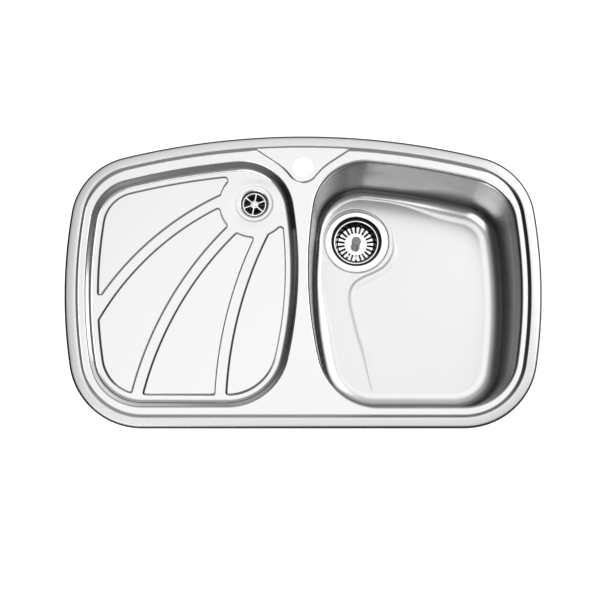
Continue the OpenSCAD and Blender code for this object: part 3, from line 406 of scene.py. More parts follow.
# Gap round a screw or stem, and round the screw in its arm
RUNNING_GAP = 0.05 * MM
ARM_GAP = 0.06 * MM


class Plan:
    """The sink's outlines, centres and heights, worked out from the sizes."""

    def __init__(self, scene):
        rim = self.rim = scene.sink_rim
        pocket = self.pocket = scene.sink_pockets
        drainer = self.drainer = scene.sink_drainer
        ledge = self.ledge = scene.sink_ledge
        waste = self.waste = scene.sink_waste
        basket = self.basket = scene.sink_basket
        self.deck_z = rim.rim_h - rim.deck_drop
        self.ledge_z = self.deck_z + ledge.height
        self.bowl_z = rim.rim_h - pocket.bowl_depth
        self.outlet_z = self.deck_z - drainer.depth
        self.step_in = rim.band_w + rim.step_w

        self.seat_z = self.bowl_z - waste.seat_drop
        self.flange_top = self.seat_z + waste.gasket_t + waste.flange_t
        self.shelf_z = self.flange_top - waste.shelf_depth
        self.cup_z = self.flange_top - waste.cup_depth
        self.basket_top = self.shelf_z + basket.seal_t + basket.sheet
        self.basket_z = self.basket_top - basket.depth
        self.dish_z = self.outlet_z - drainer.dish_drop
        self.grille_z = self.dish_z - scene.sink_outlet.shelf

        self.side_c = Vector((rim.rim_w / 2 - rim.side_bow, 0))
        self.back_c = Vector((0, rim.rim_d / 2 - rim.back_bow))
        self.land_c = Vector((pocket.land_w / 2 + pocket.land_bow, pocket.land_waist))
        side_r = rim.side_bow - pocket.side_margin
        back_r = rim.back_bow - pocket.back_margin
        front_y = pocket.front_margin - rim.rim_d / 2
        self.fo = front_corner(self.side_c, side_r, pocket.corner_fo, front_y, 1)
        self.bo = crossing(self.side_c, side_r - pocket.corner_bo, self.back_c, back_r - pocket.corner_bo, 1)
        self.bi = crossing(
            self.land_c, pocket.land_bow - pocket.corner_bi, self.back_c, back_r - pocket.corner_bi, -1
        )
        self.fi = front_corner(self.land_c, pocket.land_bow, pocket.corner_fi, front_y, -1)
        self.waste_c = Vector((pocket.land_w / 2 + waste.waste_dx, self.back_c.y + back_r - waste.waste_dy))
        self.outlet_c = Vector(
            (-pocket.land_w / 2 - drainer.outlet_dx, self.back_c.y + back_r - drainer.outlet_dy)
        )
        self.tap_c = Vector((0, rim.rim_d / 2 - ledge.setback))

        a, b = heading(self.fo - self.side_c), heading(self.bo - self.side_c)
        c, d = heading(self.bo - self.back_c), heading(self.bi - self.back_c)
        e, f = (heading(v - self.land_c) % math.tau for v in (self.bi, self.fi))
        low, end = -math.pi / 2, 1.5 * math.pi
        self.bowl = (
            arc(self.fo, pocket.corner_fo, low, a, CORNER_STEPS)
            + arc(self.side_c, side_r, a, b, SIDE_STEPS)
            + arc(self.bo, pocket.corner_bo, b, c, CORNER_STEPS)
            + arc(self.back_c, back_r, c, d, SIDE_STEPS)
            + arc(self.bi, pocket.corner_bi, d, e, CORNER_STEPS)
            + arc(self.land_c, pocket.land_bow, e, f, SIDE_STEPS)
            + arc(self.fi, pocket.corner_fi, f, end, CORNER_STEPS)
            + [Station(self.fi, pocket.corner_fi, end)]
        )
        self.tray = mirrored(self.bowl)
        fall = Vector((-self.fo.x, self.fo.y)) - self.outlet_c
        self.fall = fall.normalized() * drainer.fall
        self.tray_up = Vector((-self.fall.x, -self.fall.y, 1)).normalized()

        self.ledge_out = heading(self.bi - self.tap_c)
        self.flank_r = (self.bi - self.tap_c).length - ledge.front_r
        self.flank_way = polar(1, ledge.flank)

    def tray_z(self, p):
        """Height of the drainer's floor, which falls towards its outlet."""
        return self.outlet_z + (p - self.outlet_c).dot(self.fall)

    def ledge_height(self, p):
        """Height of the tap ledge's surface near the back step."""
        x = abs(p.x)
        inside = (Vector((x, p.y)) - self.bi).dot(self.flank_way) - self.flank_r
        return self.deck_z + self.ledge.height * ease(inside / self.ledge.slope)

    def rim_stations(self, flank_ends):
        """The rim's outline; flank_ends are angles on its back where the ledge's lines end."""
        rim = self.rim
        front = front_corner(self.side_c, rim.side_bow, rim.front_corner, -rim.rim_d / 2, 1)
        corner = rim.back_corner
        back = crossing(self.side_c, rim.side_bow - corner, self.back_c, rim.back_bow - corner, 1)
        a, b = heading(front - self.side_c), heading(back - self.side_c)
        e = heading(back - self.back_c)
        right = (
            arc(front, rim.front_corner, -math.pi / 2, a, RIM_CORNER_STEPS)
            + arc(self.side_c, rim.side_bow, a, b, RIM_SIDE_STEPS)
            + arc(back, rim.back_corner, b, e, RIM_CORNER_STEPS)
        )
        spread = steps(e, math.pi - e, RIM_BACK_STEPS)
        gap = min(abs(p - q) for p, q in zip(spread, spread[1:])) / 3
        angles = [s for s in spread if all(abs(s - k) > gap for k in flank_ends)] + list(flank_ends)
        middle = [Station(self.back_c, rim.back_bow, s) for s in sorted(angles)]
        return right + middle + mirrored(right)

    def flank_line(self, inset, foot_r):
        """One line of the tap ledge's edge, from the left end to the right one, at an inset.

        Both ends lie on the circle of radius foot_r about the back's centre."""
        ledge = self.ledge
        start = self.bi + polar(self.flank_r + inset, ledge.flank)
        way = Vector((math.sin(ledge.flank), -math.cos(ledge.flank)))
        offset = start - self.back_c
        along = -offset.dot(way) + math.sqrt(offset.dot(way) ** 2 - offset.length_squared + foot_r**2)
        straight = [start + way * t for t in steps(along, 0, FLANK_STEPS)]
        hollow = [
            self.bi + polar(self.flank_r + inset, t)
            for t in steps(ledge.flank, math.pi + self.ledge_out, FLANK_STEPS)[1:]
        ]
        front = [
            self.tap_c + polar(ledge.front_r - inset, t)
            for t in steps(self.ledge_out, -math.pi / 2, CORNER_STEPS)[1:]
        ]
        right = straight + hollow + front
        left = [Vector((-p.x, p.y)) for p in right]
        return left + right[-2::-1]


def raised(points, z):
    """Points in space over flat ones; z is a height or a function of the point."""
    return [Vector((p.x, p.y, z(p) if callable(z) else z)) for p in points]


def pairs(verts, closed=True):
    """Each item of a line with the next one."""
    following = verts[1:] + verts[:1] if closed else verts[1:]
    return list(zip(verts, following))


def chain(bm, points, closed=True, ends=()):
    """A line of edges through the points; ends are vertices used for its first and last point."""
    verts = [bm.verts.new(p) for p in (points[1:-1] if ends else points)]
    if ends:
        verts = [ends[0], *verts, ends[1]]
    for a, b in pairs(verts, closed):
        if not bm.edges.get((a, b)):
            bm.edges.new((a, b))
    return verts


def edges_of(bm, verts, closed=True):
    """The edges of a line of vertices."""
    return [bm.edges.get(pair) for pair in pairs(verts, closed)]


def extrude(bm, verts, points, closed=True):
    """Extrudes a line of vertices and sets the new line on the points."""
    made = bmesh.ops.extrude_edge_only(bm, edges=edges_of(bm, verts, closed))["geom"]
    fresh = {v for v in made if isinstance(v, bmesh.types.BMVert)}
    line = [next(e.other_vert(v) for e in v.link_edges if e.other_vert(v) in fresh) for v in verts]
    for v, p in zip(line, points):
        v.co = p
    return line


def loft(bm, rows, closed=True):
    """Joins rows of points with faces; returns each row's line of vertices."""
    lines = [chain(bm, rows[0], closed)]
    for points in rows[1:]:
        lines.append(extrude(bm, lines[-1], points, closed))
    return lines


def fill(bm, lines, normal=(0, 0, 1)):
    """Fills the flat region between closed lines of vertices."""
    edges = [e for verts in lines for e in edges_of(bm, verts)]
    bmesh.ops.triangle_fill(bm, use_beauty=True, use_dissolve=False, edges=edges, normal=normal)


def thicken(bm, thickness):
    """Gives a sheet whose faces point up its wall, downwards."""
    bmesh.ops.recalc_face_normals(bm, faces=bm.faces)
    upward = sum(f.normal.z * f.calc_area() for f in bm.faces)
    if upward < 0:
        bmesh.ops.reverse_faces(bm, faces=bm.faces)
    bmesh.ops.solidify(bm, geom=bm.faces[:], thickness=thickness)


def sharper(bm, degrees):
    """The edges whose faces turn by more than so many degrees."""
    return [e for e in bm.edges if e.is_manifold and e.calc_face_angle(0) > math.radians(degrees)]


def round_edges(bm, degrees, width):
    """Rounds every edge that turns by more than so many degrees."""
    bmesh.ops.bevel(
        bm, geom=sharper(bm, degrees), offset=width, offset_type="OFFSET", segments=2, profile=0.5,
        affect="EDGES", material=-1
    )


def finish_piece(bm, name, body, slot, nodes, sharp, finish=None):
    """Makes the piece's object from its bmesh, on its body and in its nodes' place.

    Edges that turn by more than sharp, in degrees, stay sharp."""
    mesh = bpy.data.meshes.new(name)
    for face in bm.faces:
        face.smooth = True
    for edge in sharper(bm, sharp):
        edge.smooth = False
    bm.to_mesh(mesh)
    bm.free()
    mesh.materials.append(finish_of(finish or slot))
    piece = bpy.data.objects.new(name, mesh)
    bpy.context.scene.collection.objects.link(piece)
    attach(piece, body)
    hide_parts(*nodes)


def softened(points, fineness=4):
    """A section of radii and heights in metres; a third number rounds that corner."""
    made = []
    total = len(points)
    for i, (r, z, *rounding) in enumerate(points):
        here = Vector((r, z))
        if not rounding:
            made.append(here)
            continue
        a = Vector(points[i - 1][:2]) - here
        b = Vector(points[(i + 1) % total][:2]) - here
        reach = min(rounding[0] / math.tan(a.angle(b) / 2), 0.48 * a.length, 0.48 * b.length)
        p, q = here + a.normalized() * reach, here + b.normalized() * reach
        made += [p, *curved(p, q, here, fineness), q]
    return made


def curved(p, q, corner, number):
    """Points of a round curve from p to q that touches both lines to their corner."""
    turned = math.pi - (p - corner).angle(q - corner)
    pull = 4 / 3 * math.tan(turned / 4) / math.tan(turned / 2)
    a, b = p + (corner - p) * pull, q + (corner - q) * pull
    return [
        (1 - t) ** 3 * p + 3 * (1 - t) ** 2 * t * a + 3 * (1 - t) * t * t * b + t**3 * q
        for t in steps(0, 1, number)[1:-1]
    ]


def lathe(bm, centre, section, number=FINE_SIDES, closed=True):
    """Spins a section of radii and heights about an upright axis."""
    verts = chain(bm, [Vector((centre.x + p.x, centre.y, p.y)) for p in section], closed=closed)
    bmesh.ops.spin(
        bm, geom=verts + edges_of(bm, verts, closed), cent=(*centre, 0), axis=(0, 0, 1),
        angle=math.tau, steps=number, use_merge=True, use_duplicate=False
    )
    bmesh.ops.remove_doubles(bm, verts=bm.verts[:], dist=1e-6)


def close_up(bm):
    """Turns every face of a closed shape outwards."""
    bmesh.ops.recalc_face_normals(bm, faces=bm.faces)


def band_section(outer, inner, low, high, rounding):
    """A ring's section with rounded edges."""
    return softened([
        (outer, low, rounding), (outer, high, rounding), (inner, high, rounding), (inner, low, rounding)
    ])


def flat_ring(bm, centre, radius, z, number):
    """A level circle of edges."""
    return chain(bm, raised([place(s) for s in circle(centre, radius, number)], z))


# Materials

class Tree:
    """The nodes of a material or a world, with short ways to add to them.

    A value is a number, a colour or another node's output."""

    def __init__(self, owner):
        owner.use_nodes = True
        self.nodes = owner.node_tree.nodes
        self.links = owner.node_tree.links

    def feed(self, socket, value):
        """Gives a socket its value."""
        if isinstance(value, bpy.types.NodeSocket):
            self.links.new(value, socket)
        else:
            socket.default_value = value

    def add(self, kind, values=None, **settings):
        """A new node, with its settings and its sockets' values."""
        node = self.nodes.new(kind)
        for key, setting in settings.items():
            setattr(node, key, setting)
        for socket, value in (values or {}).items():
            self.feed(node.inputs[socket], value)
        return node

    def math(self, operation, *values):
        """A sum, a product or the like."""
        return self.add("ShaderNodeMath", dict(enumerate(values)), operation=operation).outputs[0]

    def vector(self, operation, values):
        """A node that works on vectors."""
        return self.add("ShaderNodeVectorMath", values, operation=operation)

    def part(self, vector, axis):
        """One part of a vector."""
        return self.add("ShaderNodeSeparateXYZ", {0: vector}).outputs[axis]

    def ranged(self, value, low, high, at_low, at_high, smooth=False):
        """Runs from at_low to at_high while the value runs from low to high."""
        values = {"Value": value, "From Min": low, "From Max": high, "To Min": at_low, "To Max": at_high}
        kind = "SMOOTHSTEP" if smooth else "LINEAR"
        return self.add("ShaderNodeMapRange", values, interpolation_type=kind).outputs["Result"]

    def dulled(self, tone, value, low, high, at_low, at_high):
        """The tone times a factor that runs smoothly from at_low to at_high with the value."""
        factor = self.ranged(value, low, high, at_low, at_high, smooth=True)
        return self.vector("SCALE", {0: tone, "Scale": factor}).outputs[0]

    def blend(self, factor, first, second):
        """A mix of two colours."""
        return self.add("ShaderNodeMix", {0: factor, 6: first, 7: second}, data_type="RGBA").outputs[2]

    def noise(self, place_in, scale, detail):
        """An uneven pattern."""
        values = {"Vector": place_in, "Scale": scale, "Detail": detail}
        return self.add("ShaderNodeTexNoise", values).outputs["Fac"]

    def finish(self, shader, tone, metallic, roughness):
        """Gives the shader its colour, its metal and its roughness."""
        for socket, value in (("Base Color", tone), ("Metallic", metallic), ("Roughness", roughness)):
            self.feed(shader.inputs[socket], value)

    def skin(self, shader, pattern, strength, depth):
        """Gives the shader a fine relief."""
        values = {"Height": pattern, "Strength": strength, "Distance": depth}
        self.feed(shader.inputs["Normal"], self.add("ShaderNodeBump", values).outputs["Normal"])


def new_material(name):
    """A material, its tree and its shader."""
    material = bpy.data.materials.new(name)
    tree = Tree(material)
    return material, tree, tree.nodes["Principled BSDF"]


def shade_of(colour, factor=1):
    """A colour times a factor, as a socket takes it."""
    return (*[c * factor for c in colour], 1)


# How far up a face looks where it counts as steep and as flat, above the bowl and in it
STEEP_ABOVE, FLAT_ABOVE = 0.5, 0.93
STEEP_IN_BOWL, FLAT_IN_BOWL = 0.9, 0.999
# Heights between which the look changes: to the bowl's, to the band's, to that of the bowl's back
# corners, to that of its upper walls, to that of the deck's outward faces, and above its outside
INTO_BOWL = (-60 * MM, -30 * MM)
ONTO_BAND = (4.2 * MM, 5 * MM)
INTO_CORNERS = (-14 * MM, -6 * MM)
UP_THE_WALLS = (-20 * MM, -14 * MM)
ONTO_DECK = (-10 * MM, -2 * MM)
ABOVE_OUTSIDE = (-30 * MM, -12 * MM)
BOWL_MIDDLE = (0.19, -0.015, 0)
# Brightness of the bowl's outside, and of the painted shade at the foot of the waste's cup, whose top is the
# height given last
OUTSIDE_SHADE = 0.68
CUP_PAINTED_SHADE = 0.1
CUP_PAINTED_SHADE_Z = -173.4 * MM
# Depth of the grain in the steel
GRAIN_DEPTH = 0.02 * MM


def steel_material(name, colour, roughness, grain, scratch, steep=1, band=1, shade_below_z=None):
    """Satin steel: fine grain in the bump, soft streaks in the roughness.

    Steep faces get painted shade, darker by the factor steep, for the dark studio they would reflect; the
    rim's band gets painted shade by the factor band. Below a given height it gets painted shade, at the foot
    of the waste's cup."""
    material, tree, shader = new_material(name)
    coordinates = tree.add("ShaderNodeTexCoord").outputs
    place_in, normal = coordinates["Object"], coordinates["Normal"]
    height = tree.part(place_in, "Z")
    tone = tree.blend(tree.noise(place_in, 9, 3), shade_of(colour, 0.985), shade_of(colour))
    # Painted shade: steep faces are painted darker than flat ones
    if steep < 1:
        steep_at, flat_at = STEEP_ABOVE, FLAT_ABOVE
        if band < 1:
            # In the bowl even gentle slopes get the painted shade
            steep_at = tree.ranged(height, *INTO_BOWL, STEEP_IN_BOWL, STEEP_ABOVE)
            flat_at = tree.ranged(height, *INTO_BOWL, FLAT_IN_BOWL, FLAT_ABOVE)
        upward = tree.math("ABSOLUTE", tree.part(normal, "Z"))
        tone = tree.dulled(tone, upward, steep_at, flat_at, steep, 1)
    if band < 1:
        tone = pressed_painted_shade(tree, place_in, normal, tone, colour, band)
    # Painted shade below the given height, deep in the waste's cup
    if shade_below_z:
        tone = tree.dulled(tone, height, shade_below_z - MM, shade_below_z, CUP_PAINTED_SHADE, 1)
    fine = tree.noise(place_in, grain, 2)
    tree.finish(shader, tone, 1, tree.ranged(fine, 0, 1, roughness * 0.9, roughness * 1.1))
    tree.skin(shader, fine, scratch, GRAIN_DEPTH)
    return material


def pressed_painted_shade(tree, place_in, normal, tone, colour, band):
    """Painted shade on the pressed sheet: walls, back corners and outward faces are painted darker, standing
    in for the darker sides of the studio that they would reflect.
    """
    height = tree.part(place_in, "Z")
    across = tree.part(normal, "X")
    # Painted shade: above the bowl both sides' walls are painted dark, in it the left one and the back
    # corners
    left_wall = tree.math("SUBTRACT", across, 0.3)
    right_wall = tree.math("MULTIPLY", across, tree.ranged(height, *INTO_BOWL, 0, -1))
    corner = tree.math("MULTIPLY", tree.math("ABSOLUTE", across), tree.part(normal, "Y"))
    corner = tree.math("MULTIPLY", corner, tree.ranged(height, *INTO_CORNERS, -2, 0))
    dark = tree.math("MAXIMUM", corner, tree.math("MAXIMUM", left_wall, right_wall))
    dark_shade = tree.ranged(height, *UP_THE_WALLS, 0.5, 0.28)
    outward = facing_away(tree, normal, place_in, (0, 0, 0), (2.5, 4, 0))
    outward_shade = tree.ranged(height, *ONTO_DECK, 0.55, 0.15)

    # Painted shade: the band is painted darker than the deck
    tone = tree.dulled(tone, height, *ONTO_BAND, 1, band)
    # Painted shade on faces that look outwards, away from the middle
    tone = tree.dulled(tone, outward, 0.04, 0.2, 1, outward_shade)
    tone = tree.dulled(tone, dark, 0.4, 0.8, 1, dark_shade)
    # The bowl's outside is evenly bright, without these painted shades
    outside = tree.ranged(facing_away(tree, normal, place_in, BOWL_MIDDLE, (5, 5, 0)), -0.05, 0.2, 0, 1)
    below = tree.ranged(height, *ABOVE_OUTSIDE, 1, 0)
    return tree.blend(tree.math("MULTIPLY", outside, below), tone, shade_of(colour, OUTSIDE_SHADE))


def facing_away(tree, normal, place_in, centre, scale):
    """How far a face looks away from a centre; scale is one over the reach along each axis."""
    offset = tree.vector("SUBTRACT", {0: place_in, 1: centre}).outputs[0]
    across = tree.vector("MULTIPLY", {0: offset, 1: scale}).outputs[0]
    return tree.vector("DOT_PRODUCT", {0: normal, 1: across}).outputs["Value"]


def plain_material(name, colour, roughness, grain, depth, metallic=0, shade=0.9):
    """A moulded, plated or rubber surface: uneven colour and roughness, and a fine skin in the bump."""
    material, tree, shader = new_material(name)
    place_in = tree.add("ShaderNodeTexCoord").outputs["Object"]
    cloud = tree.noise(place_in, grain / 12, 4)
    tone = tree.blend(cloud, shade_of(colour, shade), shade_of(colour))
    uneven = tree.ranged(cloud, 0, 1, roughness * 0.85, min(1, roughness * 1.15))
    tree.finish(shader, tone, metallic, uneven)
    tree.skin(shader, tree.noise(place_in, grain, 3), 0.4, depth)
    return material


def waste_steel(name, f, shade_below_z=None):
    """The polished steel of the waste and its basket."""
    # Its steep faces get painted shade, down to 0.2 of its colour
    return steel_material(name, f.polished, f.polished_rough, 3200, 0.15, 0.2, shade_below_z=shade_below_z)


# The finishes by their slots, and the waste's cup, which has painted shade at its foot
MATERIALS = {
    "sink_steel": lambda f: steel_material(
        "satin_steel", f.steel, f.steel_rough, 2600, 0.35, f.steep, f.band
    ),
    "polished_steel": lambda f: waste_steel("polished_steel", f),
    "cup_steel": lambda f: waste_steel("cup_steel", f, CUP_PAINTED_SHADE_Z),
    "chrome_grille": lambda f: steel_material("chrome", f.chrome, 0.08, 3200, 0.05),
    "zinc_steel": lambda f: plain_material("zinc_plate", f.zinc, 0.36, 900, 0.02 * MM, 1),
    "rubber": lambda f: plain_material("seal_rubber", f.rubber, 0.72, 700, 0.03 * MM),
    "foam": lambda f: plain_material("foam", f.foam, 0.95, 1100, 0.25 * MM),
    "damping_pad": lambda f: plain_material("damping_pad", f.pad, 0.85, 500, 0.08 * MM),
    "black_plastic": lambda f: plain_material("black_plastic", f.black_plastic, 0.42, 800, 0.02 * MM),
    "white_plastic": lambda f: plain_material(
        "white_plastic", f.white_plastic, 0.35, 600, 0.01 * MM, shade=0.97
    ),
    "knob_plastic": lambda f: plain_material("knob_plastic", f.knob, 0.4, 900, 0.01 * MM),
}


FINISH_MADE = {}


def finish_of(key):
    """The named finish, made when it is first asked for."""
    made = FINISH_MADE.get(key)
    if made is None:
        made = FINISH_MADE[key] = MATERIALS[key](bpy.context.scene.sink_finish)
    return made


# CAD nodes that stay as they are, and the finish that each gets
KEPT_NODES = {
    "waste_body": "black_plastic",
    "overflow_head": "black_plastic",
    "overflow_pipe": "white_plastic",
    "overflow_nut_top": "black_plastic",
    "overflow_nut_side": "black_plastic",
    "overflow_seal_top": "rubber",
    "overflow_seal_side": "rubber",
}


class SinkOperator:
    """What every operator of this add-on shares."""

    bl_options = {"REGISTER", "UNDO"}


# Route of the floor's crease from the waste's centre, in millimetres: round its right side, then forward
CREASE_ROUTE = [
    (65, 21), (67, 2), (68, -18), (62, -36), (51, -50), (35, -60), (17, -68), (5, -74.5), (-4, -83),
    (-8.2, -94), (-9, -107), (-7, -122), (-3.2, -138), (3, -165), (12, -197), (19, -235), (24, -265),
    (25.3, -274),
]
CREASE_STEPS = 5
# Where its sides' flat feet end, as a share of its width
CREASE_FOOT = 1.12
# Its least height and width at its ends, as a share, and over which part of its length it swells
CREASE_LEAST = 0.12
CREASE_SWELL = 0.2
# How much wider the inner side is on the forward part, and where that starts and how long it takes
CREASE_WIDER = 0.4
CREASE_TURN = 0.42
CREASE_CHANGE = 0.2


class SINK_OT_pressed_sink(SinkOperator, bpy.types.Operator):
    """Press the sheet: rim, deck, tap ledge, bowl and drainer"""

    bl_idname = "sink.pressed_sink"
    bl_label = "Pressed Sink"

    def execute(self, context):
        plan = Plan(context.scene)
        bm = bmesh.new()
        deck = self.rim(bm, plan)
        bowl = self.pocket(bm, plan, plan.bowl, plan.pocket, left=False)
        tray = self.pocket(bm, plan, plan.tray, plan.pocket, left=True)
        fill(bm, [deck["outside"], bowl["top"], tray["top"]])
        self.tap_hole(bm, plan, deck["ledge"])
        self.bowl_floor(bm, plan, bowl["floor"])
        self.tray_floor(bm, plan, tray["floor"])
        thicken(bm, plan.rim.sheet)
        nodes = ["sink_deck", "sink_bowl", "sink_drainer"]
        finish_piece(bm, "pressed_sink", "sink", "sink_steel", nodes, 50)
        return {"FINISHED"}

    def rim(self, bm, plan):
        """Rolled edge, band and step; returns the deck's outer line and the ledge's top."""
        rim, ledge = plan.rim, plan.ledge
        foot_in = plan.step_in + STRIP
        foot_r = rim.back_bow - foot_in
        insets = [-STRIP] + steps(0, ledge.slope, ROUND_STEPS) + [ledge.slope + STRIP]
        lines = [plan.flank_line(s, foot_r) for s in insets]
        right_ends = [heading(line[-1] - plan.back_c) for line in lines]
        stations = plan.rim_stations(right_ends + [math.pi - t for t in right_ends])

        turns = steps(0, math.pi / 2, ROUND_STEPS)
        band = steps(0, 1, 4)
        section = [(0, rim.edge_gap)]
        section += [
            (rim.edge_r * (1 - math.cos(t)), rim.rim_h - rim.band_fall - rim.edge_r * (1 - math.sin(t)))
            for t in turns
        ]
        section += [
            (rim.edge_r + (rim.band_w - rim.edge_r) * t, rim.rim_h - rim.band_fall * (1 - t) ** 1.5)
            for t in band[1:]
        ]
        section += [
            (rim.band_w + rim.step_w * t, rim.rim_h - rim.deck_drop * ease(t))
            for t in steps(0, 1, 2 * ROUND_STEPS)[1:]
        ]
        section += [(foot_in, plan.deck_z)]

        def height(p, z, inset):
            """The section's height, or the tap ledge's where that is higher."""
            if inset <= rim.band_w or p.y < plan.tap_c.y or abs(p.x) > plan.bi.x:
                return z
            return max(z, plan.ledge_height(p))

        rows = []
        for inset, z in section:
            flat = [place(s, inset) for s in stations]
            rows.append([Vector((p.x, p.y, height(p, z, inset))) for p in flat])
        line = loft(bm, rows)[-1]

        # The foot of the step, cut where the ledge's lines meet it
        angles = [s.angle if s.centre == plan.back_c else None for s in stations]
        right = [angles.index(t) for t in right_ends]
        left = [
            min(range(len(stations)), key=lambda i: abs((angles[i] or 0) - (math.pi - t)))
            for t in right_ends
        ]
        previous = None
        for k, (flat, inset) in enumerate(zip(lines, insets)):
            z = plan.deck_z + ledge.height * ease(inset / ledge.slope)
            ends = (line[left[k]], line[right[k]])
            verts = chain(bm, raised(flat, z), closed=False, ends=ends)
            if previous:
                both = edges_of(bm, previous, False) + edges_of(bm, verts, False)
                bmesh.ops.bridge_loops(bm, edges=both)
            else:
                first = verts
            previous = verts
        outside = line[left[0] + 1 :] + line[: right[0]] + first[::-1]
        top = line[right[-1] + 1 : left[-1]] + previous
        return {"outside": outside, "ledge": top}

    def pocket(self, bm, plan, stations, pocket, left):
        """Edge, wall and bottom radius of the bowl or the drainer."""
        drainer = plan.drainer
        edge_r = drainer.edge if left else pocket.bowl_edge
        bottom_r = drainer.bottom if left else pocket.bowl_bottom
        draft = drainer.draft if left else pocket.bowl_draft
        depth = drainer.depth if left else pocket.bowl_depth - plan.rim.deck_drop
        lean = math.atan(draft / depth)
        # Each entry is an inset, a height, and how far that height counts from the floor
        section = [(-edge_r - STRIP, 0, 0)]
        section += [
            (edge_r * (math.cos(t) - 1), edge_r * (math.sin(t) - 1), 0)
            for t in steps(math.pi / 2, lean, ROUND_STEPS)
        ]
        under = [
            (draft + bottom_r * (1 - math.cos(t)), bottom_r * (1 - math.sin(t)), 1)
            for t in steps(lean, math.pi / 2, ROUND_STEPS + 2)
        ]
        above, below = section[-1], under[0]
        section += [
            tuple(a + (b - a) * t for a, b in zip(above, below)) for t in steps(0, 1, WALL_STEPS)[1:-1]
        ]
        section += under + [(draft + bottom_r + STRIP, 0, 1)]
        floor = plan.tray_z if left else (lambda p: plan.bowl_z)
        # The bowl's floor starts to rise sooner where the waste's seat leaves room for that
        spread = [0 if left else self.early_rise(plan, place(s)) for s in stations]

        rows = []
        for inset, z, low in section:
            past = max(0, inset - draft) / bottom_r if low else 0
            flat = [place(s, inset + extra * min(past, 1)) for s, extra in zip(stations, spread)]
            rows.append([Vector((p.x, p.y, z + (1 - low) * plan.deck_z + low * floor(p))) for p in flat])
        lines = loft(bm, rows)
        return {"top": lines[0], "floor": lines[-1]}

    def early_rise(self, plan, p):
        """How much further in the floor's rounding starts at a point of the bowl's outline."""
        pocket = plan.pocket
        away = (p - plan.waste_c).length
        room = away - plan.waste.seat_r - SEAT_ROUND - 3 * STRIP - pocket.bowl_draft - pocket.bowl_bottom
        return min(room, pocket.early_rise * ease((away - RISE_FROM) / RISE_OVER))

    def tap_hole(self, bm, plan, outer):
        """The ledge's top with the tap's hole."""
        flat = [place(s) for s in circle(plan.tap_c, plan.ledge.hole_r, HOLE_STEPS)]
        fill(bm, [outer, chain(bm, raised(flat, plan.ledge_z))])

    def sunk(self, bm, centre, section):
        """A round seat pressed into a floor; returns its outline.

        Each entry of the section is a radius, a drop, and the height that the drop counts from."""
        rows = []
        for radius, drop, level in section:
            flat = [place(s) for s in circle(centre, radius, 2 * HOLE_STEPS)]
            rows.append([p - Vector((0, 0, drop)) for p in raised(flat, level)])
        return loft(bm, rows)[0]

    def bowl_floor(self, bm, plan, outer):
        """The bowl's floor with the waste's seat and the soft crease that leads to it."""
        waste = plan.waste
        fillet = SEAT_ROUND
        z = plan.bowl_z
        turns = steps(0, math.pi / 2, 4)
        section = [(waste.seat_r + fillet + STRIP, 0, z)]
        section += [(waste.seat_r + fillet * (1 - math.sin(t)), fillet * (1 - math.cos(t)), z) for t in turns]
        section += [
            (waste.seat_r - fillet * (1 - math.cos(t)), waste.seat_drop - fillet * (1 - math.sin(t)), z)
            for t in turns
        ]
        section += [(waste.seat_r - fillet - STRIP, waste.seat_drop, z), (waste.hole_r, waste.seat_drop, z)]
        seat = self.sunk(bm, plan.waste_c, section)
        fill(bm, [outer, seat, self.crease(bm, plan)])

    def crease(self, bm, plan):
        """A low fold that runs round the waste and forward to the front; returns its outline."""
        pocket = plan.pocket
        route = smooth_route([plan.waste_c + Vector(p) * MM for p in CREASE_ROUTE], CREASE_STEPS)
        across = [-CREASE_FOOT] + steps(-1, 1, ROUND_STEPS) + [CREASE_FOOT]
        rows = []
        for k, p in enumerate(route):
            way = (route[min(k + 1, len(route) - 1)] - route[max(k - 1, 0)]).normalized()
            out = Vector((way.y, -way.x))
            t = k / (len(route) - 1)
            swell = max(CREASE_LEAST, min(1, t / CREASE_SWELL, (1 - t) / CREASE_SWELL))
            inner = pocket.crease_in * (1 + CREASE_WIDER * ease((t - CREASE_TURN) / CREASE_CHANGE))
            flat = [p + out * swell * u * (inner if u > 0 else pocket.crease_out) for u in across]
            rises = [pocket.crease_h * swell * (1 - ease(abs(u))) for u in across]
            rows.append([Vector((*q, plan.bowl_z + rise)) for q, rise in zip(flat, rises)])
        lines = loft(bm, rows, closed=False)
        near, far = [line[0] for line in lines], [line[-1] for line in lines]
        return lines[0][1:-1] + far + lines[-1][-2:0:-1] + near[::-1]

    def tray_floor(self, bm, plan, outer):
        """The drainer's floor, its raised panels and the outlet's seat."""
        drainer = plan.drainer
        level = plan.outlet_z
        slopes = steps(0, 1, ROUND_STEPS)
        section = [(drainer.level_r + STRIP, 0, plan.tray_z), (drainer.level_r, 0, plan.tray_z)]
        section += [(drainer.dish_r + 2 * STRIP, 0, level), (drainer.dish_r + STRIP, 0, level)]
        section += [
            (drainer.dish_r - drainer.dish_slope * t, drainer.dish_lip * ease(t), level) for t in slopes
        ]
        section += [(drainer.hole_r + drainer.dish_roll + STRIP, drainer.dish_lip, level)]
        section += [
            (drainer.hole_r + drainer.dish_roll * (1 - math.sin(t)),
             drainer.dish_lip + (drainer.dish_drop - drainer.dish_lip) * (1 - math.cos(t)), level)
            for t in steps(0, math.pi / 2, ROUND_STEPS)
        ]
        seat = self.sunk(bm, plan.outlet_c, section)
        lines = [outer, seat]
        for outline in panel_outlines(plan):
            lines.append(self.panel(bm, plan, outline))
        fill(bm, lines, plan.tray_up)

    def panel(self, bm, plan, outline):
        """One raised panel; returns its foot's line."""
        drainer = plan.drainer
        section = [(-STRIP, 0)]
        section += [(drainer.panel_slope * t, drainer.panel_h * ease(t)) for t in steps(0, 1, ROUND_STEPS)]
        section += [(drainer.panel_slope + STRIP, drainer.panel_h)]
        rows = []
        for inset, rise in section:
            flat = moved_in(outline, inset)
            rows.append([Vector((p.x, p.y, plan.tray_z(p) + rise)) for p in flat])
        lines = loft(bm, rows)
        fill(bm, [lines[-1]], plan.tray_up)
        return lines[0]


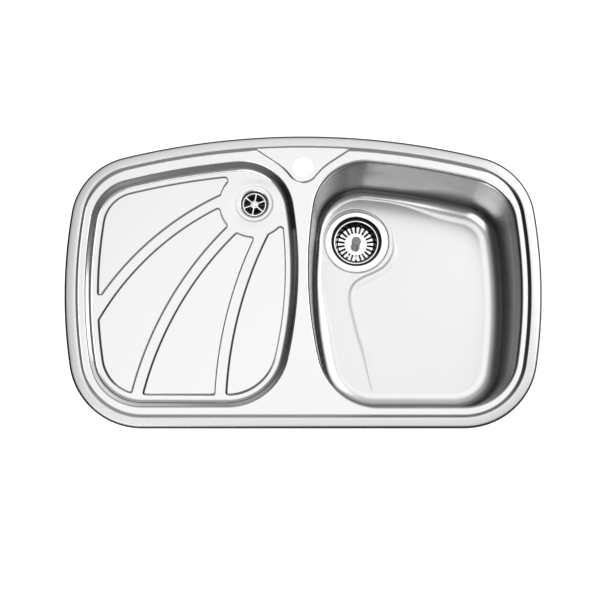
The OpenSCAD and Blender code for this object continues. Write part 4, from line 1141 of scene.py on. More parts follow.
def smooth_route(points, number):
    """A smooth line through the points, with so many steps between two of them."""
    padded = [2 * points[0] - points[1], *points, 2 * points[-1] - points[-2]]
    route = []
    for a, b, c, d in zip(padded, padded[1:], padded[2:], padded[3:]):
        for t in steps(0, 1, number)[:-1]:
            square, cube = 2 * a - 5 * b + 4 * c - d, 3 * b - a - 3 * c + d
            route.append((2 * b + (c - a) * t + square * t**2 + cube * t**3) / 2)
    return route + [points[-1]]


def moved_in(points, inset):
    """A closed anticlockwise line of points, moved inwards square to itself."""
    moved = []
    for i, p in enumerate(points):
        way = (points[(i + 1) % len(points)] - points[i - 1]).normalized()
        moved.append(p + inset * Vector((-way.y, way.x)))
    return moved


def rounded(points, corners, radius):
    """Rounds the named corners of a closed line of points."""
    total = len(points)
    made = []
    spans = sorted(corners)
    for n, i in enumerate(spans):
        j = spans[(n + 1) % len(spans)]
        run = [points[k % total] for k in range(i, j + 1 if j > i else j + total + 1)]
        made.append(run)
    trimmed = []
    for n, run in enumerate(made):
        before = made[n - 1]
        after = made[(n + 1) % len(made)]
        trimmed.append(trim(trim(run, cut_length(before, run, radius)), cut_length(run, after, radius), True))
    line = []
    for n, run in enumerate(trimmed):
        line += run
        following = trimmed[(n + 1) % len(trimmed)]
        line += curved(run[-1], following[0], made[n][-1], ROUND_STEPS)
    return line


def cut_length(run, following, radius):
    """How far from their shared corner two runs meet a rounding of that radius."""
    a = (run[-2] - run[-1]).normalized()
    b = (following[1] - following[0]).normalized()
    return radius / math.tan(a.angle(b) / 2)


def trim(run, length, at_end=False):
    """The run without its first or last stretch of that length."""
    run = run[::-1] if at_end else run
    left = length
    for k, (p, q) in enumerate(zip(run, run[1:])):
        step = (q - p).length
        if step > left:
            run = [p + (q - p) * (left / step)] + run[k + 1 :]
            break
        left -= step
    return run[::-1] if at_end else run


def panel_outlines(plan):
    """The four panels' feet: the field inside the gutter, cut by the channels and the clear circle."""
    drainer = plan.drainer
    field = [place(s, drainer.gutter) for s in plan.tray]
    clear = (plan.outlet_c, drainer.clear_r)
    channels = [
        (plan.outlet_c + Vector((getattr(drainer, f"channel_{k}_x"), -getattr(drainer, f"channel_{k}_y"))),
         getattr(drainer, f"channel_{k}"))
        for k in (1, 2, 3)
    ]
    half = drainer.channel / 2
    outlines = []
    for k in range(len(channels) + 1):
        # A panel lies inside the circle on its left and outside the one on its right
        walls = [clear + (1,)]
        if k > 0:
            walls.append((channels[k - 1][0], channels[k - 1][1] - half, -1))
        if k < len(channels):
            walls.append((channels[k][0], channels[k][1] + half, 1))
        outlines.append(region(field, walls, drainer.panel_corner))
    return outlines


# Distance of the points along the panels' sides
WALL_PITCH = 4 * MM


def beyond(p, wall):
    """How far a point lies on the open side of a round wall."""
    centre, radius, side = wall
    return side * ((p - centre).length - radius)


def crossing_point(a, b, wall):
    """Where the line from a to b crosses a round wall."""
    inside = beyond(a, wall) > 0
    for _ in range(24):
        middle = (a + b) / 2
        if (beyond(middle, wall) > 0) == inside:
            a = middle
        else:
            b = middle
    return a


def along_wall(wall, start, end):
    """Points between two points of a round wall, the short way."""
    centre, radius, _ = wall
    first = heading(start - centre)
    turned = (heading(end - centre) - first + math.pi) % math.tau - math.pi
    number = max(2, int(abs(turned) * radius / WALL_PITCH))
    return [centre + polar(radius, a) for a in steps(first, first + turned, number)[1:-1]]


def region(field, walls, corner_r):
    """The part of the field on the open side of every wall, with rounded corners."""
    line = [(p, False) for p in field]
    for wall in walls[::-1]:
        keep = [beyond(p, wall) > 0 for p, _ in line]
        if all(keep):
            continue
        total = len(line)
        runs = [
            (next(k for k in range(1, total + 1) if not keep[(i + k) % total]), i)
            for i in range(total) if keep[i] and not keep[i - 1]
        ]
        length, i = max(runs)
        kept = [line[(i + k) % total] for k in range(length)]
        enter = crossing_point(kept[0][0], line[i - 1][0], wall)
        leave = crossing_point(kept[-1][0], line[(i + length) % total][0], wall)
        middle = [(p, False) for p in along_wall(wall, leave, enter)]
        line = [(enter, True), *kept, (leave, True), *middle]
    corners = [i for i, (_, corner) in enumerate(line) if corner]
    return rounded([p for p, _ in line], corners, corner_r)


def gasket(centre, node, inner, rounding, outer=None):
    """A flat rubber ring in its CAD node's place, as wide as that where no outer radius is given."""
    low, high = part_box(node)
    outer = outer or (high[0] - low[0]) / 2
    bm = bmesh.new()
    lathe(bm, centre, band_section(outer, inner, low[2], high[2], rounding))
    close_up(bm)
    finish_piece(bm, node + "_ring", "sink", "rubber", [node], 40)


# Floor of the cup that is spun with its wall
CUP_FOOT = 5 * MM


class SINK_OT_waste(SinkOperator, bpy.types.Operator):
    """Make the bowl's waste: flange and cup, its screw and its gaskets"""

    bl_idname = "sink.waste"
    bl_label = "Bowl Waste"

    def execute(self, context):
        plan = Plan(context.scene)
        self.flange(plan)
        self.screw(plan)
        centre, waste = plan.waste_c, plan.waste
        gasket(centre, "flange_gasket", waste.hole_r, 0.3 * MM, outer=waste.flange_r - waste.flange_t)
        gasket(centre, "body_gasket", waste.hole_r, 0.6 * MM)
        return {"FINISHED"}

    def flange(self, plan):
        """Flange, mouth, shelf and cup, drawn from one sheet, with holes in the cup's floor."""
        waste = plan.waste
        centre = plan.waste_c
        top, lip = plan.flange_top, waste.mouth_lip
        section = softened([
            (waste.flange_r, top - waste.flange_t * 0.6),
            (waste.flange_r, top, 0.5 * MM),
            (waste.mouth_r, top, lip),
            (waste.mouth_r, plan.shelf_z, 0.9 * MM),
            (waste.well_r, plan.shelf_z, 0.8 * MM),
            (waste.well_r, plan.cup_z, 2.4 * MM),
            (waste.well_r - CUP_FOOT, plan.cup_z),
        ])
        bm = bmesh.new()
        lathe(bm, centre, section, closed=False)
        foot, near = section[-1].x, 0.01 * MM
        low = [v for v in bm.verts if v.co.z < plan.cup_z + near]
        floor = [v for v in low if abs(math.dist(v.co.xy, centre) - foot) < near]
        outer = sorted(floor, key=lambda v: heading(v.co.xy - centre))
        lines = [outer, flat_ring(bm, centre, waste.screw_r, plan.cup_z, HOLE_SIDES)]
        for i in range(waste.cup_holes):
            hole = centre + polar(waste.cup_hole_ring, math.tau * i / waste.cup_holes)
            lines.append(flat_ring(bm, hole, waste.cup_hole_r, plan.cup_z, HOLE_SIDES))
        fill(bm, lines)
        thicken(bm, waste.cup_t)
        finish_piece(
            bm, "waste_flange_cup", "sink", "polished_steel", ["waste_flange"], 50, finish="cup_steel"
        )

    def screw(self, plan):
        """The slotted screw in the cup's floor."""
        waste, centre, high = plan.waste, plan.waste_c, plan.cup_z
        bm = bmesh.new()
        slot = [(waste.screw_head_r * 0.82, waste.screw_slot, 0)]
        slotted_head(bm, centre, high, waste.screw_head_r, waste.screw_head_h, slot)
        threaded_shank(bm, centre, waste.screw_r, high, high - waste.screw_l, 0.5 * MM, 1.4 * MM)
        finish_piece(bm, "waste_screw_slotted", "sink", "polished_steel", ["waste_screw"], 35)


# A screw head's flat top and slot, and its upright edge, as shares of its radius and height
HEAD_TOP = 0.86
SLOT_DEPTH = 0.5
HEAD_EDGE = 0.35


def slotted_head(bm, centre, z, radius, height, slots, top_r=None):
    """A screw's domed head, standing on z, with slots: half length, width and heading of each."""
    top_r = top_r or radius * HEAD_TOP
    outline = slot_outline(centre, slots)
    top = z + height
    inner = chain(bm, raised(outline, top))
    outer = flat_ring(bm, centre, top_r, top, HEAD_SIDES)
    fill(bm, [outer, inner])
    under = extrude(bm, inner, raised(outline, top - height * SLOT_DEPTH))
    fill(bm, [under])
    dome = top - z - HEAD_EDGE * height
    rim = [
        (radius - (radius - top_r) * (1 - math.sin(t)), top - dome * (1 - math.cos(t)))
        for t in steps(0, math.pi / 2, 5)
    ]
    line = outer
    for r, level in rim[1:] + [(radius, z)]:
        line = extrude(bm, line, raised([place(s) for s in circle(centre, r, HEAD_SIDES)], level))
    fill(bm, [line])
    close_up(bm)


def slot_outline(centre, slots):
    """The anticlockwise outline of one slot, or of a cross of two like slots."""
    reach, width, turned = slots[0]
    half = width / 2
    if len(slots) == 1:
        corners = [(-reach, -half), (reach, -half), (reach, half), (-reach, half)]
    else:
        quarter = [(half, -reach), (half, -half), (reach, -half)]
        corners = []
        for k in range(4):
            corners += [tuple(Matrix.Rotation(k * math.pi / 2, 2) @ Vector(c)) for c in quarter]
    spin = Matrix.Rotation(turned, 2)
    return [centre + spin @ Vector(c) for c in corners]


# Steps of a thread's turn, and half of its root's and crest's widths as shares of the pitch
THREAD_STEPS = 16
THREAD_ROOT = 0.42
THREAD_CREST = 0.08


def threaded_shank(bm, centre, radius, high, low, depth, pitch):
    """A screw's shank with a helical thread, between two heights."""
    core = radius - depth
    point = depth * 1.5
    shank = bmesh.new()
    outline = [(0, high), (core, high), (core, low + point), (core * 0.7, low), (0, low)]
    lathe(shank, centre, [Vector(p) for p in outline], number=HOLE_SIDES, closed=False)
    close_up(shank)
    turns = max(1, int((high - low - point - pitch) / pitch))
    root, crest, foot = THREAD_ROOT * pitch, THREAD_CREST * pitch, core - 0.1 * depth
    profile = [(foot, root), (radius, crest), (radius, -crest), (foot, -root)]
    start = low + point + pitch / 2
    verts = chain(shank, [Vector((centre.x + r, centre.y, start + z)) for r, z in profile])
    face = shank.faces.new(verts)
    bmesh.ops.spin(
        shank, geom=[face, *verts, *face.edges], cent=(*centre, 0), axis=(0, 0, 1),
        dvec=(0, 0, pitch / THREAD_STEPS), angle=math.tau * turns, steps=THREAD_STEPS * turns,
        use_merge=False, use_duplicate=False,
    )
    shank.normal_update()
    close_up(shank)
    add_mesh(bm, shank)


class SINK_OT_basket(SinkOperator, bpy.types.Operator):
    """Make the strainer basket, its seal, stem and knob"""

    bl_idname = "sink.basket"
    bl_label = "Strainer Basket"

    def execute(self, context):
        plan = Plan(context.scene)
        self.sheet(plan)
        self.seal(plan)
        self.stem(plan)
        self.knob(plan)
        return {"FINISHED"}

    def sheet(self, plan):
        """The basket's slotted sheet, with its rolled rim."""
        basket, centre = plan.basket, plan.waste_c
        wall_r = basket.rim_r - basket.rim_w
        profile = softened([
            (basket.stem_r, plan.basket_z),
            (basket.slot_r - 2 * MM, plan.basket_z),
            (basket.slot_r, plan.basket_z),
            (basket.slot_r + 3.5 * MM, plan.basket_z),
            (basket.floor_r - basket.sheet, plan.basket_z, basket.bottom_r),
            (basket.floor_r - basket.sheet + 2.4 * MM, plan.basket_z + basket.slot_rise),
            (wall_r - basket.sheet, plan.basket_top, 1.1 * MM),
            (basket.rim_r - 0.6 * MM, plan.basket_top, 0.6 * MM),
            (basket.rim_r, plan.basket_top - 0.9 * MM),
        ], 5)
        pitch = math.tau / basket.slots
        rows = []
        for r, z in profile:
            half = min(math.asin(min(1, basket.slot_w / 2 / r)), 0.35 * pitch)
            offsets = [-half, -half / 3, half / 3, half] + steps(half, pitch - half, 5)[1:-1]
            angles = [(i + 0.5) * pitch + a for i in range(basket.slots) for a in offsets]
            rows.append([Vector((*(centre + polar(r, a)), z)) for a in angles])
        bm = bmesh.new()
        loft(bm, rows)
        top = plan.basket_z + basket.slot_rise
        gone = []
        for face in bm.faces:
            middle = face.calc_center_median()
            offset = middle.xy - centre
            turned = heading(offset) / pitch % 1 - 0.5
            wide = abs(turned) * pitch * offset.length < basket.slot_w / 2
            if wide and offset.length > basket.slot_r and middle.z < top:
                gone.append(face)
        bmesh.ops.delete(bm, geom=gone, context="FACES")
        thicken(bm, basket.sheet)
        finish_piece(bm, "strainer_sheet", "basket", "polished_steel", ["strainer_basket"], 50)

    def seal(self, plan):
        """The rubber ring under the basket's rim, with a slanted upper edge."""
        basket, low = plan.basket, plan.shelf_z
        outer = plan.waste.mouth_r - basket.seal_gap
        inner = plan.waste.well_r - basket.seal_gap
        high = low + basket.seal_t
        bm = bmesh.new()
        lathe(bm, plan.waste_c, softened([
            (outer, low, 0.5 * MM), (outer, high - 0.5 * MM, 0.4 * MM), (outer - 1.2 * MM, high, 0.4 * MM),
            (inner, high, 0.4 * MM), (inner, low, 0.5 * MM),
        ]))
        close_up(bm)
        finish_piece(bm, "basket_seal_ring", "basket", "rubber", ["basket_seal"], 40)

    def stem(self, plan):
        """The stem, riveted under the basket's floor."""
        basket = plan.basket
        low = plan.basket_z - basket.sheet
        bm = bmesh.new()
        lathe(bm, plan.waste_c, softened([
            (0, low - basket.rivet_h), (basket.rivet_r - 1.4 * MM, low - basket.rivet_h, 0.8 * MM),
            (basket.rivet_r, low, 0.2 * MM), (basket.stem_r, low),
            (basket.stem_r, plan.basket_z + basket.stem_l, 0.4 * MM), (0, plan.basket_z + basket.stem_l),
        ]), number=HEAD_SIDES, closed=False)
        close_up(bm)
        finish_piece(bm, "basket_stem_riveted", "basket", "polished_steel", ["basket_stem"], 35)

    def knob(self, plan):
        """The knob that lifts the basket: waisted, with a soft round head."""
        basket, z = plan.basket, plan.basket_z
        bm = bmesh.new()
        bore, roof = basket.stem_r + RUNNING_GAP, z + basket.stem_l + RUNNING_GAP
        lathe(bm, plan.waste_c, softened([
            (0, roof), (bore, roof), (bore, z),
            (basket.knob_foot_r, z, 0.5 * MM), (basket.knob_foot_r, z + basket.knob_foot_h, 3 * MM),
            (basket.knob_r, z + basket.knob_head_z, 2.5 * MM),
            (basket.knob_r, z + basket.knob_h, basket.knob_round), (0, z + basket.knob_h),
        ], 8), number=KNOB_SIDES, closed=False)
        close_up(bm)
        finish_piece(bm, "basket_knob_turned", "basket", "knob_plastic", ["basket_knob"], 50)


class SINK_OT_outlet(SinkOperator, bpy.types.Operator):
    """Make the drainer's outlet: grille, its screw and the gasket"""

    bl_idname = "sink.outlet"
    bl_label = "Drainer Outlet"

    def execute(self, context):
        plan = Plan(context.scene)
        sizes = context.scene.sink_outlet
        self.grille(plan, sizes)
        bm = bmesh.new()
        top = plan.grille_z + sizes.grille_t
        cross = [(sizes.cross_reach, sizes.cross_w, sizes.spoke_turn), (sizes.cross_reach, sizes.cross_w, 0)]
        slotted_head(bm, plan.outlet_c, top, sizes.screw_head_r, sizes.screw_head_h, cross, sizes.screw_top_r)
        threaded_shank(bm, plan.outlet_c, sizes.screw_r, top, top - sizes.screw_l, 0.3 * MM, 0.9 * MM)
        finish_piece(bm, "grille_screw_crossed", "sink", "chrome_grille", ["grille_screw"], 35)
        gasket(plan.outlet_c, "drainer_gasket", plan.drainer.hole_r, 0.5 * MM)
        return {"FINISHED"}

    def grille(self, plan, sizes):
        """A ring, a hub and spokes with softened edges."""
        centre, top = plan.outlet_c, plan.grille_z + sizes.grille_t
        bm = bmesh.new()
        lines = [
            flat_ring(bm, centre, sizes.grille_r, top, FINE_SIDES),
            flat_ring(bm, centre, sizes.screw_r, top, HOLE_SIDES),
        ]
        inner, outer = sizes.hub_r, sizes.grille_r - sizes.ring_w
        pitch = math.tau / sizes.spokes
        for i in range(sizes.spokes):
            first = sizes.spoke_turn + i * pitch
            edge = [math.asin(sizes.spoke_w / 2 / r) for r in (inner, outer)]
            out = [centre + polar(outer, a) for a in steps(first + edge[1], first + pitch - edge[1], 14)]
            back = [centre + polar(inner, a) for a in steps(first + pitch - edge[0], first + edge[0], 8)]
            opening = out + back
            corners = [0, len(out) - 1, len(out), len(opening) - 1]
            lines.append(chain(bm, raised(rounded(opening, corners, 0.7 * MM), top)))
        fill(bm, lines)
        thicken(bm, sizes.grille_t)
        round_edges(bm, 60, 0.35 * MM)
        finish_piece(bm, "grille_spoked", "sink", "chrome_grille", ["drainer_grille"], 50)


FOAM_W = 7 * MM
# The damping pad's corner radius, and its squares: pitch, height and sloping edge
PAD_CORNER = 20 * MM
PAD_CELL = 9.5 * MM
PAD_RELIEF = 0.6 * MM
PAD_SLOPE = 1.5 * MM


class SINK_OT_under_rim(SinkOperator, bpy.types.Operator):
    """Lay the foam gasket under the rim and the damping pad under the bowl"""

    bl_idname = "sink.under_rim"
    bl_label = "Gasket and Pad"

    def execute(self, context):
        plan = Plan(context.scene)
        self.foam(plan)
        self.pad()
        return {"FINISHED"}

    def foam(self, plan):
        """A strip of foam that follows the rim and bulges a little at its sides."""
        low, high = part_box("rim_gasket")
        start = high[1] - plan.rim.rim_d / 2
        outer = -start
        section = softened([
            (0, low[2], 0.5 * MM), (FOAM_W, low[2], 0.5 * MM),
            (FOAM_W, high[2], 0.5 * MM), (0, high[2], 0.5 * MM),
        ])
        stations = plan.rim_stations([])
        bm = bmesh.new()
        lines = loft(bm, [raised([place(s, outer + across) for s in stations], z) for across, z in section])
        bmesh.ops.bridge_loops(bm, edges=edges_of(bm, lines[0]) + edges_of(bm, lines[-1]))
        close_up(bm)
        finish_piece(bm, "rim_foam", "sink", "foam", ["rim_gasket"], 50)

    def pad(self):
        """The pad glued under the bowl, embossed with small squares."""
        low, high = (Vector(v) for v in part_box("sound_pad"))
        middle, half = (low + high) / 2, (high - low) / 2
        columns, rows = round(2 * half.x / PAD_CELL), round(2 * half.y / PAD_CELL)
        bm = bmesh.new()
        bmesh.ops.create_grid(bm, x_segments=columns, y_segments=rows, size=1)
        bmesh.ops.scale(bm, verts=bm.verts, vec=(half.x, half.y, 1))
        bmesh.ops.translate(bm, verts=bm.verts, vec=(middle.x, middle.y, high.z))
        corner = PAD_CORNER
        for vert in bm.verts:
            off = vert.co - middle
            over = Vector((max(abs(off.x) - half.x + corner, 0), max(abs(off.y) - half.y + corner, 0)))
            if over.length > corner:
                pulled = over * (1 - corner / over.length)
                vert.co.x -= math.copysign(pulled.x, off.x)
                vert.co.y -= math.copysign(pulled.y, off.y)
        bmesh.ops.recalc_face_normals(bm, faces=bm.faces)
        if sum(f.normal.z for f in bm.faces) > 0:
            bmesh.ops.reverse_faces(bm, faces=bm.faces)
        wall = extrude_region(bm, bm.faces[:], (0, 0, low.z + PAD_RELIEF - high.z))
        bmesh.ops.inset_individual(bm, faces=wall, thickness=PAD_SLOPE, depth=PAD_RELIEF)
        close_up(bm)
        finish_piece(bm, "damping_pad_embossed", "sink", "damping_pad", ["sound_pad"], 30)


def extrude_region(bm, faces, offset):
    """Extrudes faces, keeps the old ones as the other side, and returns the moved ones."""
    made = bmesh.ops.extrude_face_region(bm, geom=faces, use_keep_orig=True)["geom"]
    moved = [g for g in made if isinstance(g, bmesh.types.BMVert)]
    bmesh.ops.translate(bm, verts=moved, vec=offset)
    return [g for g in made if isinstance(g, bmesh.types.BMFace)]


class SINK_OT_clamps(SinkOperator, bpy.types.Operator):
    """Make the eight clamps: brackets, screws and arms"""

    bl_idname = "sink.clamps"
    bl_label = "Rim Clamps"

    def execute(self, context):
        plan = Plan(context.scene)
        sizes = context.scene.sink_clamps
        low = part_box("clamp_screw_1")[0][2]
        arm_z = low + sizes.head_h
        bracket_z = -sizes.bracket_h - sizes.bracket_t
        thread_z = bracket_z - sizes.boss_h
        brackets = bmesh.new()
        for i, (centre, out) in enumerate(clamp_places(plan, sizes), 1):
            self.bracket(brackets, plan, sizes, centre, out, bracket_z, thread_z)
            bm = bmesh.new()
            cross = [(sizes.screw_r * 0.9, 1.2 * MM, out), (sizes.screw_r * 0.9, 1.2 * MM, 0)]
            slotted_head(bm, centre, 0, sizes.head_r, sizes.head_h, cross)
            bmesh.ops.scale(bm, vec=(1, 1, -1), verts=bm.verts)
            bmesh.ops.translate(bm, vec=(0, 0, arm_z), verts=bm.verts)
            close_up(bm)
            threaded_shank(bm, centre, sizes.screw_r, arm_z, thread_z + sizes.grip, sizes.thread, sizes.pitch)
            node = f"clamp_screw_{i}"
            finish_piece(bm, f"clamp_screw_threaded_{i}", node, "zinc_steel", [node], 35)
            self.arm(sizes, i, centre, out - math.pi / 2, arm_z)
        finish_piece(brackets, "clip_brackets_bent", "sink", "zinc_steel", ["clip_brackets"], 40)
        return {"FINISHED"}

    def bracket(self, bm, plan, sizes, centre, out, low, thread_z):
        """A bent strip welded under the deck, with a threaded boss in its lower leg."""
        t = sizes.bracket_t
        back = sizes.inset - sizes.bracket_back
        under = plan.deck_z - plan.rim.sheet - t / 2
        front = sizes.inset - plan.step_in
        path = softened([
            (front, under), (back + t / 2, under, sizes.bend_r), (back + t / 2, low + t / 2, sizes.bend_r),
            (sizes.boss_r + t, low + t / 2),
        ], 5)
        piece = bmesh.new()
        half = sizes.bracket_w / 2
        line = chain(piece, [Vector((p.x, -half, p.y)) for p in path], closed=False)
        extrude(piece, line, [Vector((p.x, half, p.y)) for p in path], closed=False)
        bmesh.ops.recalc_face_normals(piece, faces=piece.faces)
        bmesh.ops.solidify(piece, geom=piece.faces[:], thickness=t)
        round_edges(piece, 60, 0.25 * MM)
        boss = band_section(sizes.boss_r, sizes.screw_r + RUNNING_GAP, thread_z, low + 0.1 * MM, 0.5 * MM)
        lathe(piece, Vector((0, 0)), boss, number=BOSS_SIDES)
        close_up(piece)
        move_in(bm, piece, centre, out)

    def arm(self, sizes, i, centre, turned, z):
        """A flat arm with a bent tip that ends in teeth."""
        t, half = sizes.arm_t, sizes.arm_w / 2
        piece = bmesh.new()
        nose = [polar(half, a) for a in steps(math.pi / 2, 1.5 * math.pi, 16)]
        outline = nose + [Vector((sizes.arm_reach, -half)), Vector((sizes.arm_reach, half))]
        hole = flat_ring(piece, Vector((0, 0)), sizes.screw_r + ARM_GAP, z + t, ARM_HOLE_SIDES)
        fill(piece, [chain(piece, raised(outline, z + t)), hole])
        thicken(piece, t)
        tip = bmesh.new()
        teeth = 6
        crest = [
            Vector((-half + 2 * half * k / teeth, z + t + sizes.tip_h - sizes.tooth * (k % 2)))
            for k in range(teeth + 1)
        ]
        profile = [Vector((-half, z + t - 0.2 * MM)), Vector((half, z + t - 0.2 * MM)), *crest[::-1]]
        line = chain(tip, [Vector((sizes.arm_reach, p.x, p.y)) for p in profile])
        face = tip.faces.new(line)
        bmesh.ops.recalc_face_normals(tip, faces=tip.faces)
        extrude_region(tip, [face], (-t, 0, 0))
        close_up(tip)
        add_mesh(piece, tip)
        round_edges(piece, 50, 0.3 * MM)
        bm = bmesh.new()
        move_in(bm, piece, centre, turned)
        node = f"clamp_arm_{i}"
        finish_piece(bm, f"clamp_arm_toothed_{i}", node, "zinc_steel", [node], 40)


def clamp_places(plan, sizes):
    """Each clamp's screw axis and outward heading."""
    rim = plan.rim
    front = sizes.inset - rim.rim_d / 2
    back_r, side_r = rim.back_bow - sizes.inset, rim.side_bow - sizes.inset
    back = math.acos(sizes.along_x / back_r)
    side = math.asin(sizes.along_y / side_r)
    places = [(Vector((x, front)), -math.pi / 2) for x in (sizes.along_x, -sizes.along_x)]
    places += [(plan.back_c + polar(back_r, a), a) for a in (math.pi - back, back)]
    right = [(plan.side_c + polar(side_r, a), a) for a in (-side, side)]
    return places + right + [(Vector((-c.x, c.y)), math.pi - a) for c, a in right]


def add_mesh(bm, other):
    """Adds another bmesh to this one and frees it."""
    mesh = bpy.data.meshes.new("part")
    other.to_mesh(mesh)
    other.free()
    bm.from_mesh(mesh)
    bpy.data.meshes.remove(mesh)


def move_in(bm, piece, centre, turned):
    """Turns a piece made at the origin, sets it on its centre and adds it."""
    bmesh.ops.rotate(piece, verts=piece.verts, cent=(0, 0, 0), matrix=Matrix.Rotation(turned, 3, "Z"))
    bmesh.ops.translate(piece, verts=piece.verts, vec=(*centre, 0))
    add_mesh(bm, piece)


class SINK_OT_fittings(SinkOperator, bpy.types.Operator):
    """Finish the plastic waste body, overflow head, pipe, nuts and their seals"""

    bl_idname = "sink.fittings"
    bl_label = "Plastic Fittings"

    def execute(self, context):
        for node, finish in KEPT_NODES.items():
            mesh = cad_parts[node].data
            mesh.materials.clear()
            mesh.materials.append(finish_of(finish))
        return {"FINISHED"}


class StageSizes(bpy.types.PropertyGroup):
    """Camera and studio"""

    distance: size("Camera distance", "Camera to the middle of the rim", 2206.7)
    tilt: turn("Camera tilt", "Camera's tilt from straight down", 10.7)
    shift_x: size("Camera X", "Camera's place to the right of the middle", -5.2)
    shift_y: size("Camera Y", "Camera's place in front of where its tilt puts it", 33.6)
    drop: size("Camera drop", "Camera's place below where its tilt puts it", 6.6)
    lens: bpy.props.FloatProperty(
        name="Lens", description="Focal length of the camera in millimetres", default=78.88, min=10
    )
    sky: share("Sky", "Strength of the world's light on matt surfaces", 0.5)


GROUPS["sink_stage"] = StageSizes

# The studio as the steel shows it, towards each side: degrees from straight up, and brightness
STUDIO = {
    "right": [(16, 0.8), (44, 0.7), (66, 0.35), (84, 0.12), (98, 0.6)],
    "left": [(14, 0.6), (26, 0.42), (38, 0.12), (66, 0.04), (98, 0.04)],
    "front": [(14, 0.36), (50, 0.30), (78, 0.36), (90, 0.85)],
    "back": [(20, 0.6), (44, 0.7), (56, 0.25), (68, 0.45), (90, 0.7)],
}
# The softbox overhead, in degrees: how far towards the back it stands, how far it is even, where it ends
SOFTBOX_TILT = 11
SOFTBOX_EVEN = 12.5
SOFTBOX_END = 17
SOFTBOX_LIGHT = 1.32
# Half of the floor's side, in metres
FLOOR_HALF = 30
# How brightly the floor glows to the camera, and how much of that the steel shows
FLOOR_GLOW = 0.75
FLOOR_IN_STEEL = 0.5
# The lamps: name, offset from the middle in metres, and power in watts
LAMPS = [("key_lamp", (-0.9, -1.2, 2.6), 22), ("fill_lamp", (1.6, 0.6, 2.0), 12)]
LAMP_SIDE = 1.6


def floor_material():
    """Matt white that keeps a shadow and runs out into the white background.

    It is open from below, so that the sink's underside can be seen."""
    material, tree, shader = new_material("studio_floor")
    rays = tree.add("ShaderNodeLightPath").outputs
    glow = rays["Is Camera Ray"]
    for ray in ("Is Glossy Ray", "Is Transmission Ray"):
        glow = tree.math("MAXIMUM", glow, tree.math("MULTIPLY", rays[ray], FLOOR_IN_STEEL))
    tree.finish(shader, (0.9, 0.9, 0.9, 1), 0, 0.9)
    tree.feed(shader.inputs["Emission Color"], (1, 1, 1, 1))
    tree.feed(shader.inputs["Emission Strength"], tree.math("MULTIPLY", glow, FLOOR_GLOW))
    from_below = tree.add("ShaderNodeNewGeometry").outputs["Backfacing"]
    clear = tree.add("ShaderNodeBsdfTransparent").outputs[0]
    surface = tree.add("ShaderNodeMixShader", {0: from_below, 1: shader.outputs[0], 2: clear})
    tree.feed(tree.nodes["Material Output"].inputs["Surface"], surface.outputs[0])
    return material


def add_light(name, place_at, aim, power):
    """A soft square lamp that points at the aim."""
    lamp = bpy.data.lights.new(name, "AREA")
    lamp.shape = "RECTANGLE"
    lamp.size = lamp.size_y = LAMP_SIDE
    lamp.energy = power
    obj = bpy.data.objects.new(name, lamp)
    obj.location = place_at
    obj.rotation_mode = "QUATERNION"
    obj.rotation_quaternion = (Vector(aim) - Vector(place_at)).to_track_quat("-Z", "Y")
    bpy.context.scene.collection.objects.link(obj)


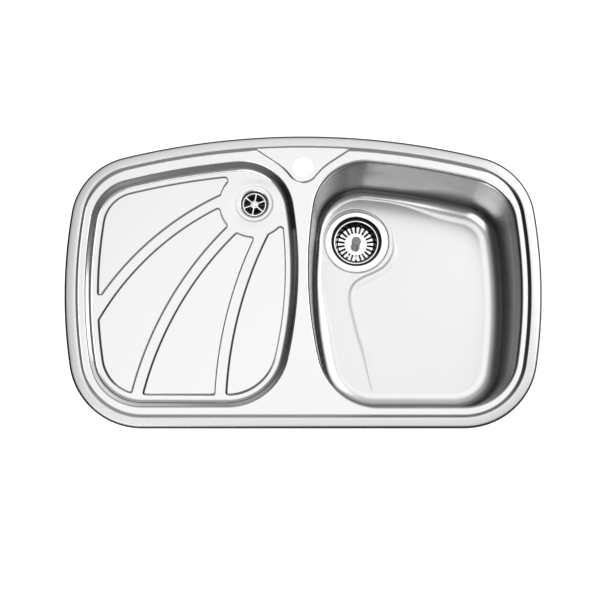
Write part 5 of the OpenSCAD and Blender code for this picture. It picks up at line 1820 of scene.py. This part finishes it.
class SINK_OT_stage(SinkOperator, bpy.types.Operator):
    """Set up the floor, the studio light and the camera"""

    bl_idname = "sink.stage"
    bl_label = "Stage"

    def execute(self, context):
        scene = context.scene
        scene.view_settings.view_transform = "Standard"
        self.camera(scene)
        self.floor(scene)
        self.world(scene)
        low, high = (Vector(v) for v in CAD_BOX)
        middle = (low + high) / 2
        for name, offset, power in LAMPS:
            add_light(name, middle + Vector(offset), middle, power)
        return {"FINISHED"}

    def camera(self, scene):
        """The camera, almost straight above the sink."""
        stage = scene.sink_stage
        data = bpy.data.cameras.new("camera")
        data.lens = stage.lens
        data.sensor_width = 36
        data.clip_end = 100
        camera = bpy.data.objects.new("camera", data)
        camera.location = (
            stage.shift_x,
            -stage.distance * math.sin(stage.tilt) - stage.shift_y,
            stage.distance * math.cos(stage.tilt) - stage.drop,
        )
        camera.rotation_euler = (stage.tilt, 0, 0)
        scene.collection.objects.link(camera)
        scene.camera = camera

    def floor(self, scene):
        """A wide floor just below the sink."""
        bm = bmesh.new()
        bmesh.ops.create_grid(bm, x_segments=8, y_segments=8, size=FLOOR_HALF)
        bmesh.ops.translate(bm, verts=bm.verts, vec=(0, 0, CAD_BOX[0][2] - 0.5 * MM))
        mesh = bpy.data.meshes.new("floor")
        bm.to_mesh(mesh)
        bm.free()
        mesh.materials.append(floor_material())
        floor = bpy.data.objects.new("floor", mesh)
        scene.collection.objects.link(floor)

    def world(self, scene):
        """White to the camera, even grey light for matt surfaces, and a studio for the steel to show."""
        world = bpy.data.worlds.new("studio")
        scene.world = world
        tree = Tree(world)
        direction = tree.add("ShaderNodeTexCoord").outputs["Generated"]
        x, y, z = tree.add("ShaderNodeSeparateXYZ", {0: direction}).outputs
        angle = tree.math("DIVIDE", tree.math("ARCCOSINE", z), math.pi)
        flat = tree.math("MAXIMUM", tree.math("SUBTRACT", 1, tree.math("MULTIPLY", z, z)), 1e-6)
        total = 0
        for side, axis, sign in (("right", x, 1), ("left", x, -1), ("front", y, -1), ("back", y, 1)):
            toward = tree.math("MAXIMUM", tree.math("MULTIPLY", axis, sign), 0)
            weight = tree.math("DIVIDE", tree.math("MULTIPLY", toward, toward), flat)
            light = tree.math("MULTIPLY", self.ramp(tree, angle, STUDIO[side]), weight)
            total = tree.math("ADD", total, light)

        tilt, even, end = (math.radians(v) for v in (SOFTBOX_TILT, SOFTBOX_EVEN, SOFTBOX_END))
        middle = (0, math.sin(tilt), math.cos(tilt))
        off = tree.math("ARCCOSINE", tree.vector("DOT_PRODUCT", {0: direction, 1: middle}).outputs["Value"])
        softbox = tree.math("MULTIPLY", tree.ranged(off, end, even, 0, 1, smooth=True), SOFTBOX_LIGHT)
        studio = tree.math("MAXIMUM", total, softbox)

        rays = tree.add("ShaderNodeLightPath").outputs
        shown = tree.math("MAXIMUM", rays["Is Glossy Ray"], rays["Is Transmission Ray"])
        light = tree.add("ShaderNodeMix", {0: shown, 2: scene.sink_stage.sky, 3: studio}).outputs[0]
        strength = tree.add("ShaderNodeMix", {0: rays["Is Camera Ray"], 2: light, 3: 1}).outputs[0]
        backdrop = tree.nodes["Background"]
        tree.feed(backdrop.inputs["Color"], (1, 1, 1, 1))
        tree.feed(backdrop.inputs["Strength"], strength)

    def ramp(self, tree, angle, marks):
        """Brightness against an angle in half turns; the marks are in degrees."""
        node = tree.add("ShaderNodeValToRGB", {"Fac": angle})
        node.color_ramp.interpolation = "EASE"
        for _ in marks[2:]:
            node.color_ramp.elements.new(0.5)
        for element, (degrees, light) in zip(node.color_ramp.elements, marks):
            element.position = degrees / 180
            element.color = (light, light, light, 1)
        return node.outputs["Color"]


class SINK_PT_panel(bpy.types.Panel):
    """Sidebar panel with every piece's button and sizes"""

    bl_idname = "SINK_PT_panel"
    bl_label = "Inset Sink"
    bl_space_type = "VIEW_3D"
    bl_region_type = "UI"
    bl_category = "Sink"

    def draw(self, context):
        for operator in OPERATORS:
            self.layout.operator(operator.bl_idname)
        for name, group in GROUPS.items():
            box = self.layout.box()
            box.label(text=group.__doc__)
            for prop in group.__annotations__:
                box.prop(getattr(context.scene, name), prop)


OPERATORS = [
    SINK_OT_stage, SINK_OT_pressed_sink, SINK_OT_waste, SINK_OT_basket, SINK_OT_outlet, SINK_OT_under_rim,
    SINK_OT_clamps, SINK_OT_fittings,
]


def register():
    """Adds the panel, the operators and the sizes."""
    for cls in (*GROUPS.values(), *OPERATORS, SINK_PT_panel):
        bpy.utils.register_class(cls)
    for name, group in GROUPS.items():
        setattr(bpy.types.Scene, name, bpy.props.PointerProperty(type=group))


def unregister():
    """Takes them away again."""
    for name in GROUPS:
        delattr(bpy.types.Scene, name)
    for cls in (SINK_PT_panel, *OPERATORS[::-1], *GROUPS.values()):
        bpy.utils.unregister_class(cls)


def main():
    """Runs every operator."""
    register()
    for operator in OPERATORS:
        space, name = operator.bl_idname.split(".")
        getattr(getattr(bpy.ops, space), name)()


if __name__ == "__main__":
    main()
